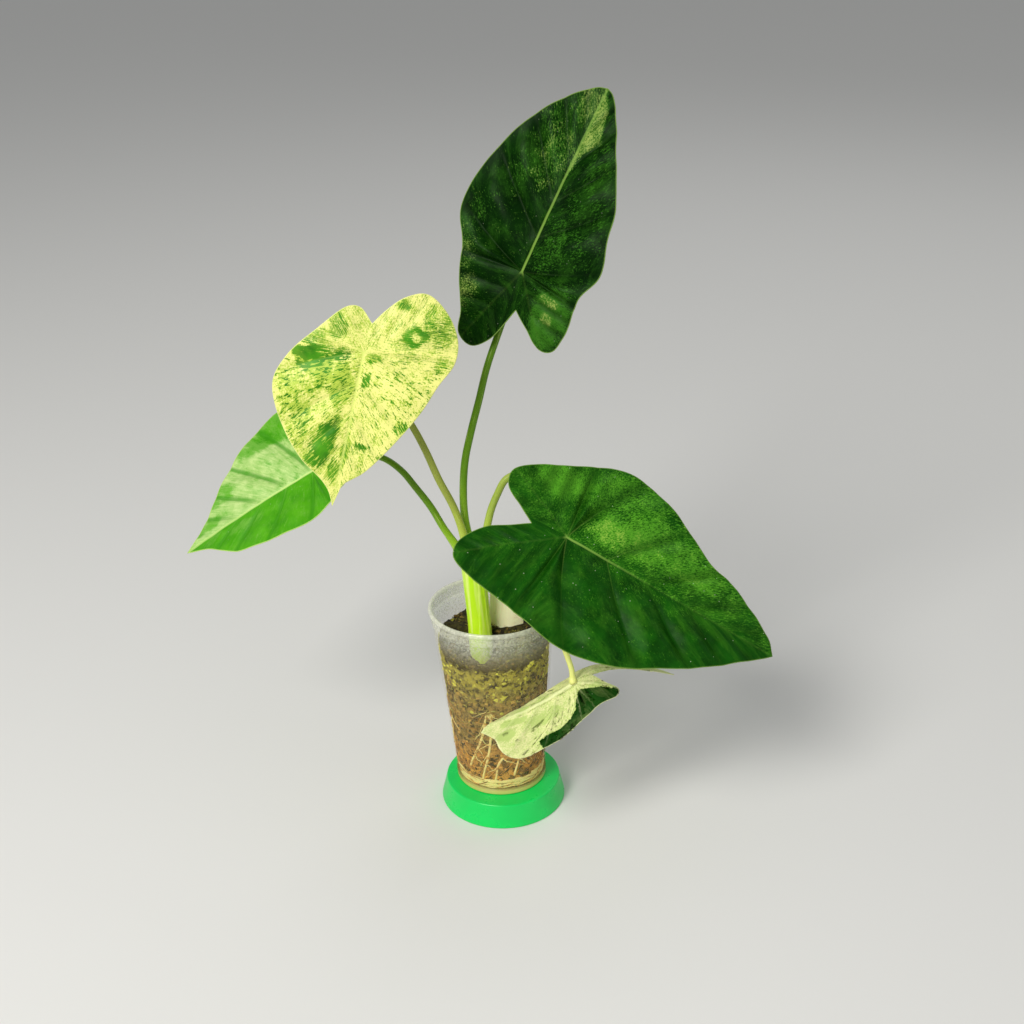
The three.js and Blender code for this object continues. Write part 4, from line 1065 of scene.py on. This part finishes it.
class ALOCASIA_OT_cup(bpy.types.Operator):
    """Turn the thin frosted cup, with its stacking band and rolled rim"""
    bl_idname = "alocasia.cup"
    bl_label = "Frosted cup"

    def execute(self, context):
        pot = context.scene.alocasia_pot
        foot, neck, rim, wall = (CUP[k] for k in ("foot_radius", "shoulder_radius", "rim_radius", "wall"))
        height, shoulder, floor = CUP["height"], CUP["shoulder_height"], CUP["floor"]
        bead = []
        for i in range(11):
            turn = math.radians(-60 + 220 * i / 10)
            bead.append((rim - 1.6 + 1.6 * math.cos(turn), height - 2 + 2 * math.sin(turn)))
        bm = lathe([
            (0, 2.4), (foot - 3.8, 2.4), (foot - 2.8, 0.1), (foot - 0.7, 0), (foot - 0.1, 0.8), (foot + 0.2, 6.5),
            (mix(foot, neck, 0.5), shoulder / 2), (neck, shoulder), (neck + 0.9, shoulder + 0.8),
            (neck + 1.0, shoulder + 5.6), *bead, (rim - 3.2, height - 3.4), (neck + 0.2, shoulder + 5.4),
            (neck, shoulder + 0.9), (neck - wall, shoulder - 0.4), (mix(foot, neck, 0.5) - wall, shoulder / 2),
            (foot - wall, floor + 1), (foot - wall - 1, floor), (0, floor),
        ], pot.facets, crisp=0.5)
        lean(bm)
        plastic = hazed_polypropylene(pot.haze, *(axis_at(h).z for h in (0, FILL["top"], shoulder, height)))
        set_down(bm, "frosted_cup_wall", plastic, "frosted_cup", "cup")
        return {"FINISHED"}


class ALOCASIA_OT_filling(bpy.types.Operator):
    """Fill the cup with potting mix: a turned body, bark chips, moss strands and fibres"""
    bl_idname = "alocasia.filling"
    bl_label = "Potting mix"

    def execute(self, context):
        settings = context.scene.alocasia_filling
        draw = random.Random(settings.seed)
        floor, top, gap = CUP["floor"] + FILL["gap"], FILL["top"], FILL["gap"]
        inset = gap + 0.9
        side = [(inner_radius(h) - inset, h) for h in (floor + 1.5 + (top - 6.5 - floor) * i / 46 for i in range(47))]
        rim = inner_radius(top) - inset
        bm = lathe([
            (0, floor), (inner_radius(floor) - inset - 1.2, floor), *side, (rim - 1.6, top - 1.6),
            *((rim * s, top + 1.6 * math.sin(2.6 * s) - 0.9) for s in (0.93, 0.85, 0.76, 0.66, 0.55, 0.43, 0.3, 0.16)),
            (0, top - 0.6),
        ], 150, crisp=0)
        open_top = bm.verts.layers.float.new("open")
        for v in bm.verts:
            here = v.co / MM
            outward = Vector((here.x, here.y, 0))
            v[open_top] = soft(top - 3, top - 1.5, here.z)
            if here.z > top - 2.2:
                here.z += self.lump(outward, rim) + 1.6 * noise.noise(here / 4) + 0.8 * noise.noise(here / 1.7)
            elif here.z > floor + 1:
                dent = 0.4 + 1.1 * noise.noise(here / 4) + 0.7 * noise.noise(here / 1.6)
                here -= outward.normalized() * min(max(dent, 0), 2.4)
            here.z -= self.sunk(outward.x, outward.y) * soft(0.55, 1, here.z / top)
            v.co = here * MM
        lean(bm)
        fill_top = axis_at(top).z
        set_down(bm, "packed_potting_mix", wet_potting_mix(fill_top), "bark_moss", "moss_fill")
        self.add_chips(draw, settings.chips)
        self.add_tufts(draw, settings.tufts)
        self.add_strands(draw, settings.strands)
        self.add_fibres(draw, settings.fibres)
        return {"FINISHED"}

    @staticmethod
    def sunk(x, y):
        """The surface lies lower towards the front of the cup and before the pseudostem."""
        cx, cy, spread = FILL["hollow_at"]
        hollow = math.exp(-(math.hypot(x - cx, y - cy) / spread) ** 4)
        return FILL["front_drop"] * soft(8, -28, y) + FILL["hollow"] * hollow

    @staticmethod
    def gap_at(place, seed):
        """Whether a patch of the wall is left open, so that dark hollows stay in the mix."""
        return noise.noise(place / 7 + Vector((0, 0, seed))) < -0.1

    def surface(self, bearing, reach):
        return FILL["top"] - self.sunk(reach * math.cos(bearing), reach * math.sin(bearing))

    @staticmethod
    def lump(outward, rim):
        angle = math.atan2(outward.y, outward.x)
        share = outward.length / rim
        return FILL["lump"] * share * (0.6 * math.sin(3 * angle + 0.8) + 0.5 * math.sin(5 * angle - 1.1) * share
                                       + 0.4 * math.cos(8 * angle + 2.1))

    def add_chips(self, draw, count):
        bm = bmesh.new()
        bm.verts.layers.float.new("tint")
        small = bmesh.new()
        bmesh.ops.create_cube(small, size=1)
        bmesh.ops.bevel(small, geom=small.edges[:], offset=0.16, affect="EDGES", segments=1, profile=0.5,
                        material=-1)
        for v in small.verts:
            v.co *= 1 + 0.35 * noise.noise(v.co * 2.3)
        chip = bpy.data.meshes.new("chip")
        small.to_mesh(chip)
        small.free()
        for i in range(count):
            on_top = i % 7 == 0
            size = Vector((draw.uniform(1.6, 4.6), draw.uniform(1.2, 2.8), draw.uniform(0.8, 1.6)))
            bearing = draw.uniform(0, TURN)
            if on_top:
                reach = (inner_radius(FILL["top"]) - 5) * draw.random() ** 0.5
                height = self.surface(bearing, reach) + draw.uniform(-0.9, 0.8)
                turn = Matrix.Rotation(draw.uniform(0, TURN), 4, "Z") @ Matrix.Rotation(draw.gauss(0, 0.3), 4, "X")
            else:
                height = draw.uniform(CUP["floor"] + 3, FILL["top"] - 22)
                reach = inner_radius(height) - FILL["gap"] - 0.5 * size.z - 0.9
                if self.gap_at(in_cup(bearing, reach, height), 4):
                    continue
                turn = (Matrix.Rotation(bearing, 4, "Z") @ Matrix.Rotation(math.pi / 2, 4, "Y")
                        @ Matrix.Rotation(draw.uniform(0, TURN), 4, "Z"))
            place = Matrix.Translation(in_cup(bearing, reach, height) * MM)
            strew(bm, chip, place @ turn @ Matrix.Diagonal((*(size * MM), 1)), draw.random() * (0.3 if on_top else 1))
        bpy.data.meshes.remove(chip)
        set_down(bm, "bark_chips", tinted_plant_matter("composted_bark", 0xC8A450, 0xF0B858, 0x241808, 0.8, 1.6),
                 "bark_moss")

    def add_tufts(self, draw, count):
        """Round tufts of living moss under the surface, pressed flat by the wall."""
        bm = bmesh.new()
        bm.verts.layers.float.new("tint")
        small = bmesh.new()
        bmesh.ops.create_icosphere(small, subdivisions=2, radius=0.5)
        for v in small.verts:
            v.co *= 1 + 0.5 * noise.noise(v.co * 4) + 0.3 * noise.noise(v.co * 11)
        tuft = bpy.data.meshes.new("tuft")
        small.to_mesh(tuft)
        small.free()
        for i in range(count):
            on_top = i % 3 == 0
            size = mix(1.5, 7, draw.random() ** 2) * (0.7 if on_top else 1)
            bearing = draw.uniform(0, TURN)
            if on_top:
                reach = (inner_radius(FILL["top"]) - 5) * draw.random() ** 0.5
                height = self.surface(bearing, reach) - 0.2 * size
            else:
                height = self.surface(bearing, inner_radius(FILL["top"])) - 0.5 * size - abs(draw.gauss(0, 17))
                reach = inner_radius(height) - FILL["gap"] - 0.3 * size - 0.3
                if self.gap_at(in_cup(bearing, reach, height), 9):
                    continue
            place = Matrix.Translation(in_cup(bearing, reach, height) * MM) @ Matrix.Rotation(bearing, 4, "Z")
            form = Matrix.Diagonal((0.5 * size * MM, size * MM, 0.8 * size * MM, 1))
            turn = Matrix.Rotation(draw.uniform(0, TURN), 4, "X")
            strew(bm, tuft, place @ form @ turn, draw.uniform(0, 0.3) if on_top else draw.uniform(0.2, 1))
        bpy.data.meshes.remove(tuft)
        set_down(bm, "moss_tufts", tinted_plant_matter("living_moss_tuft", 0xF4F05C, 0xD8B852, 0x5A5218, 0.8, 0.8),
                 "bark_moss")

    def add_strands(self, draw, count):
        bm = bmesh.new()
        for i in range(count):
            on_top = i % 4 == 0
            bearing = draw.uniform(0, TURN)
            if on_top:
                reach = (inner_radius(FILL["top"]) - 4) * draw.random() ** 0.5
                height = self.surface(bearing, reach) + draw.uniform(-0.6, 1.2)
            else:
                surface = self.surface(bearing, inner_radius(FILL["top"]))
                height = surface - 2.5 - abs(draw.gauss(0, 30))
            swing = draw.uniform(0, TURN)
            length = draw.uniform(1.5, 4.5)
            points = []
            for k in range(4):
                s = (k - 1.5) / 3 * length
                wiggle = draw.gauss(0, 0.9)
                if on_top:
                    p = in_cup(bearing, reach, height)
                    p += Vector((s * math.cos(swing), s * math.sin(swing), 0.5 * wiggle))
                    centre = axis_at(height)
                    flat = Vector((p.x - centre.x, p.y - centre.y, 0))
                    most = inner_radius(height) - 1.5
                    if flat.length > most:
                        p -= flat.normalized() * (flat.length - most)
                else:
                    up = height + s * math.sin(swing)
                    up = min(max(up, CUP["floor"] + 3), surface)
                    reach = inner_radius(up) - FILL["gap"] - 0.9
                    p = in_cup(bearing + (s * math.cos(swing) + wiggle) / reach, reach - abs(wiggle) * 0.3, up)
                points.append(p)
            fat = draw.uniform(0.15, 0.42)
            line = evenly(smooth_line(points, 6), 6)
            strand = bmesh.new()
            tint = strand.verts.layers.float.new("tint")
            tube(strand, line, [fat * r for r in (0.4, 0.9, 1.1, 1, 0.8, 0.25)], 4)
            value = draw.random() * (0.4 if on_top else 1)
            for v in strand.verts:
                v[tint] = value
            join_in(bm, strand)
        set_down(bm, "sphagnum_strands", tinted_plant_matter("damp_sphagnum", 0xDCD468, 0xDCB45C, 0x3C3814, 0.75, 1.1),
                 "bark_moss")

    def add_fibres(self, draw, count):
        bm = bmesh.new()
        for _ in range(count):
            height = draw.uniform(CUP["floor"] + 3, 70)
            bearing = draw.uniform(0, TURN)
            swing = draw.gauss(0, 0.6)
            points = []
            for k in range(5):
                s = (k - 2) * draw.uniform(2.2, 5)
                up = min(max(height + s * math.sin(swing), CUP["floor"] + 2), FILL["top"])
                reach = inner_radius(up) - FILL["gap"] - 0.45
                points.append(in_cup(bearing + s * math.cos(swing) / reach, reach, up))
            line = evenly(smooth_line(points, 6), 9)
            fibre = bmesh.new()
            tint = fibre.verts.layers.float.new("tint")
            tube(fibre, line, [draw.uniform(0.14, 0.3)] * 9, 4)
            value = draw.random()
            for v in fibre.verts:
                v[tint] = value
            join_in(bm, fibre)
        set_down(bm, "bark_fibres", tinted_plant_matter("rusty_bark_fibre", 0xD0A04E, 0xE8AC50, 0x8A5420, 0.7, 1.0),
                 "bark_moss")


class ALOCASIA_OT_roots(bpy.types.Operator):
    """Grow the corm and its roots, which run down along the cup's wall"""
    bl_idname = "alocasia.roots"
    bl_label = "Roots"

    def execute(self, context):
        draw = random.Random(context.scene.alocasia_filling.seed + 1)
        bm = bmesh.new()
        radius, height = CORM["radius"], CORM["height"]
        line = [Vector(CORM["centre"]) + Vector((0, 0, height * (i / 24 - 0.5) * 0.998)) for i in range(25)]
        girth = []
        for i in range(25):
            up = 2 * (i / 24 - 0.5)
            girth.append(max(radius * math.sqrt(max(1 - up * up, 0)), 0.4) * (1 + 0.03 * math.sin(i * 2.1)))
        self.grow(bm, line, girth, 36)
        for root in ROOTS:
            spine = self.root_path(root)
            line = evenly(smooth_line(spine), 90)
            girth = [ROOT_RADIUS * (1 - 0.3 * i / 89) * (1 + 0.12 * noise.noise(p / 3)) for i, p in enumerate(line)]
            girth[-3:] = [g * s for g, s in zip(girth[-3:], (0.85, 0.6, 0.25))]
            self.grow(bm, line, girth, 10)
            for k in range(7):
                start = line[24 + 8 * k]
                self.side_root(bm, draw, start)
        for k in range(14):
            self.circling_root(bm, draw, CUP["floor"] + 1.2 + 0.6 * k)
        set_down(bm, "corm_and_roots", root_skin(), "root", "roots")
        return {"FINISHED"}

    @staticmethod
    def root_path(root):
        points = [Vector(CORM["centre"])]
        for i in range(-1, 9):
            share = max(i, -0.35) / 8
            height = mix(root["high"], root["low"], share)
            bearing = math.radians(mix(root["from"], root["to"], share)) + 0.05 * math.sin(5 * share + root["from"])
            inset = 8 if i < 0 else FILL["gap"] + 1.2 * (1 - share) ** 6
            reach = inner_radius(height) - FILL["gap"] - ROOT_RADIUS - inset
            points.append(in_cup(bearing, reach, height))
        return points

    @staticmethod
    def circling_root(bm, draw, height):
        """A root that runs round the corner between the cup's wall and its floor."""
        start, span = draw.uniform(0, TURN), draw.uniform(2, 5.5)
        points = []
        for k in range(26):
            up = max(height + draw.gauss(0, 0.35), CUP["floor"] + 1.3)
            points.append(in_cup(start + span * k / 25, inner_radius(up) - FILL["gap"] - 1.3, up))
        ALOCASIA_OT_roots.grow(bm, evenly(smooth_line(points, 6), 90), [mix(0.95, 0.5, i / 89) for i in range(90)], 8)

    @staticmethod
    def side_root(bm, draw, start):
        height = start.z - axis_at(0).z
        middle = axis_at(height)
        bearing = math.atan2(start.y - middle.y, start.x - middle.x)
        way = draw.choice((-1, 1)) * draw.uniform(0.4, 1.1)
        length = draw.uniform(8, 20)
        points = [start]
        for k in range(1, 6):
            s = k / 5 * length
            up = min(max(height - s * math.cos(way) + draw.gauss(0, 0.4), CUP["floor"] + 2), FILL["top"] - 4)
            reach = inner_radius(up) - FILL["gap"] - 0.5
            points.append(in_cup(bearing + s * math.sin(way) / reach + draw.gauss(0, 0.01), reach, up))
        line = evenly(smooth_line(points, 8), 16)
        ALOCASIA_OT_roots.grow(bm, line, [mix(0.38, 0.12, i / 15) for i in range(16)], 6)

    @staticmethod
    def grow(bm, line, radii, sides):
        small = bmesh.new()
        tube(small, line, radii, sides)
        join_in(bm, small)


class ALOCASIA_OT_pseudostem(bpy.types.Operator):
    """Grow the short pseudostem of wrapped leaf sheaths"""
    bl_idname = "alocasia.pseudostem"
    bl_label = "Pseudostem"

    def execute(self, context):
        bm = bmesh.new()
        rise = bm.verts.layers.float.new("rise")
        count = 120
        line = evenly(smooth_line(STEM["path"]), count)
        radii = [along_list(STEM["radii"], i / (count - 1)) for i in range(count)]
        radii[-4:] = [r * s for r, s in zip(radii[-4:], (0.98, 0.94, 0.86, 0.7))]
        rings = tube(bm, line, radii, 96, STEM["squash"])
        for i, ring in enumerate(rings):
            share = i / (count - 1)
            for v in ring:
                v[rise] = share
                out = v.co / MM - line[i]
                turn = math.atan2(out.y, out.x)
                step = 0.0
                for edge, twist, begins in ((-1.9, 0.9, 0.0), (-0.35, -0.7, 0.25), (1.6, 0.8, 0.1), (2.9, -0.5, 0.4)):
                    past = (turn - edge - twist * share) % TURN
                    step += 0.55 * math.exp(-past / 0.8) * soft(begins, begins + 0.12, share)
                v.co += out.normalized() * (step - 0.45 + 0.12 * noise.noise(v.co / (4 * MM))) * MM
        skin = stalk_epidermis("pseudostem_epidermis", 0xE6F478, 0xCCF81C, 0xB4E61C, 0xF0FA96, 0.2, streak_mm=4)
        set_down(bm, "wrapped_sheaths", skin, "stem_green", "pseudostem")
        return {"FINISHED"}


class ALOCASIA_OT_petioles(bpy.types.Operator):
    """Grow the five leaf stalks out of the pseudostem"""
    bl_idname = "alocasia.petioles"
    bl_label = "Leaf stalks"

    def execute(self, context):
        slots = {"top": "stalk_dark", "left": "stalk_dark", "cream": "stalk_pale", "front": "stalk_pale",
                 "low": "stalk_yellow"}
        for leaf in LEAVES:
            name = leaf["name"]
            skin = stalk_epidermis(f"stalk_epidermis_{name}", *leaf["stalk"]["colours"], 0xC0D070, 0.12)
            set_down(grow_stalk(leaf), f"stalk_{name}", skin, slots[name], f"petiole_{name}")
        return {"FINISHED"}


class ALOCASIA_OT_blades(bpy.types.Operator):
    """Grow the five leaf blades"""
    bl_idname = "alocasia.blades"
    bl_label = "Leaf blades"

    def execute(self, context):
        cell = context.scene.alocasia_foliage.cell
        for leaf in LEAVES:
            name = leaf["name"]
            set_down(grow_blade(leaf, cell), f"leaf_{name}", waxed_leaf_cuticle(leaf), leaf["skin"], f"blade_{name}")
        return {"FINISHED"}


class ALOCASIA_OT_sheath(bpy.types.Operator):
    """Shape the papery old sheath that stands in the moss"""
    bl_idname = "alocasia.sheath"
    bl_label = "Old sheath"

    def execute(self, context):
        bm = bmesh.new()
        flat = bm.verts.layers.float_vector.new("flat")
        rise = bm.verts.layers.float.new("rise")
        bmesh.ops.create_grid(bm, x_segments=44, y_segments=60, size=1)
        radius, height = SHEATH["radius"], SHEATH["height"]
        half = math.asin(SHEATH["width"] / 2 / radius)
        turn = Matrix.Rotation(math.radians(SHEATH["turn"] - 90), 4, "Z")
        for v in bm.verts:
            side, share = v.co.x, (v.co.y + 1) / 2
            ragged = 0.06 * noise.noise(Vector((side * 3, 0.3, 1))) + 0.03 * noise.noise(Vector((side * 9, 0, 2)))
            up = share * height * (1 - SHEATH["shoulder"] * side * side * share) * (1 + ragged * share ** 2)
            curl = 0.7 * noise.noise(Vector((side * 1.5, share * 3, 5))) * share
            reach = radius + curl
            here = Vector((
                reach * math.cos(half * side) - radius - SHEATH["lean"] * share * share,
                reach * math.sin(half * side) * (1 - SHEATH["taper"] * share ** 3),
                up,
            ))
            v[flat] = (side * SHEATH["width"] / 2, up, 0)
            v[rise] = share
            v.co = (Vector(SHEATH["foot"]) + turn @ here) * MM
        bmesh.ops.recalc_face_normals(bm, faces=bm.faces[:])
        bmesh.ops.solidify(bm, geom=bm.faces[:], thickness=0.5 * MM)
        set_down(bm, "papery_sheath", dried_sheath_paper(), "dry_sheath", "old_sheath")
        return {"FINISHED"}


class ALOCASIA_OT_stage(bpy.types.Operator):
    """Set the paper floor, the soft lights, the sky and the camera"""
    bl_idname = "alocasia.stage"
    bl_label = "Stage"

    def execute(self, context):
        scene = context.scene
        settings = scene.alocasia_stage
        bm = bmesh.new()
        bmesh.ops.create_grid(bm, x_segments=1, y_segments=1, size=40)
        mesh = bpy.data.meshes.new("paper_floor")
        bm.to_mesh(mesh)
        bm.free()
        mesh.materials.append(seamless_paper(settings.floor))
        floor = bpy.data.objects.new("paper_floor", mesh)
        scene.collection.objects.link(floor)

        aim = Vector((0, 0, 0.26))
        for name, place, size, share, tone in (
            ("key", (-1.0, -1.5, 1.8), 1.0, 1.0, (1.0, 0.98, 0.94)),
            ("fill", (2.0, -1.5, 1.1), 2.0, 0.12, (0.97, 0.98, 1.0)),
            ("back", (0.9, 1.7, 2.1), 1.4, 0.14, (1.0, 1.0, 1.0)),
        ):
            lamp = bpy.data.lights.new(name, "AREA")
            lamp.size = size
            lamp.energy = settings.key * share
            lamp.color = tone
            light = bpy.data.objects.new(name, lamp)
            light.location = place
            light.rotation_euler = (aim - Vector(place)).to_track_quat("-Z", "Y").to_euler()
            scene.collection.objects.link(light)

        world = bpy.data.worlds.new("soft_room")
        world.use_nodes = True
        sky = world.node_tree.nodes["Background"]
        sky.inputs["Color"].default_value = (0.98, 0.99, 1.0, 1.0)
        sky.inputs["Strength"].default_value = 0.34
        scene.world = world

        lens = bpy.data.cameras.new("camera")
        lens.lens = 50
        lens.sensor_width = 36
        camera = bpy.data.objects.new("camera", lens)
        down, roll = math.radians(25.2), math.radians(-0.73)
        camera.matrix_world = (Matrix.Translation((0.0094, -0.916, 0.6726))
                               @ Matrix.Rotation(math.pi / 2 - down, 4, "X") @ Matrix.Rotation(roll, 4, "Z"))
        scene.collection.objects.link(camera)
        scene.camera = camera
        scene.view_settings.view_transform = "Standard"
        return {"FINISHED"}


STEPS = (
    ALOCASIA_OT_base, ALOCASIA_OT_cup, ALOCASIA_OT_filling, ALOCASIA_OT_roots, ALOCASIA_OT_pseudostem,
    ALOCASIA_OT_petioles, ALOCASIA_OT_blades, ALOCASIA_OT_sheath, ALOCASIA_OT_stage,
)
SETTINGS = {
    "alocasia_pot": PotSettings, "alocasia_filling": FillingSettings, "alocasia_foliage": FoliageSettings,
    "alocasia_stage": StageSettings,
}


class ALOCASIA_PT_panel(bpy.types.Panel):
    bl_label = "Potted alocasia"
    bl_idname = "ALOCASIA_PT_panel"
    bl_space_type = "VIEW_3D"
    bl_region_type = "UI"
    bl_category = "Alocasia"

    def draw(self, context):
        for name, group in SETTINGS.items():
            box = self.layout.box()
            for key in group.__annotations__:
                box.prop(getattr(context.scene, name), key)
        for step in STEPS:
            self.layout.operator(step.bl_idname)


def register():
    for cls in (*SETTINGS.values(), *STEPS, ALOCASIA_PT_panel):
        bpy.utils.register_class(cls)
    for name, group in SETTINGS.items():
        setattr(bpy.types.Scene, name, bpy.props.PointerProperty(type=group))


def unregister():
    for name in SETTINGS:
        delattr(bpy.types.Scene, name)
    for cls in (ALOCASIA_PT_panel, *reversed(STEPS), *SETTINGS.values()):
        bpy.utils.unregister_class(cls)


def main():
    register()
    for step in STEPS:
        group, name = step.bl_idname.split(".")
        getattr(getattr(bpy.ops, group), name)()
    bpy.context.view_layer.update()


if __name__ == "__main__":
    main()
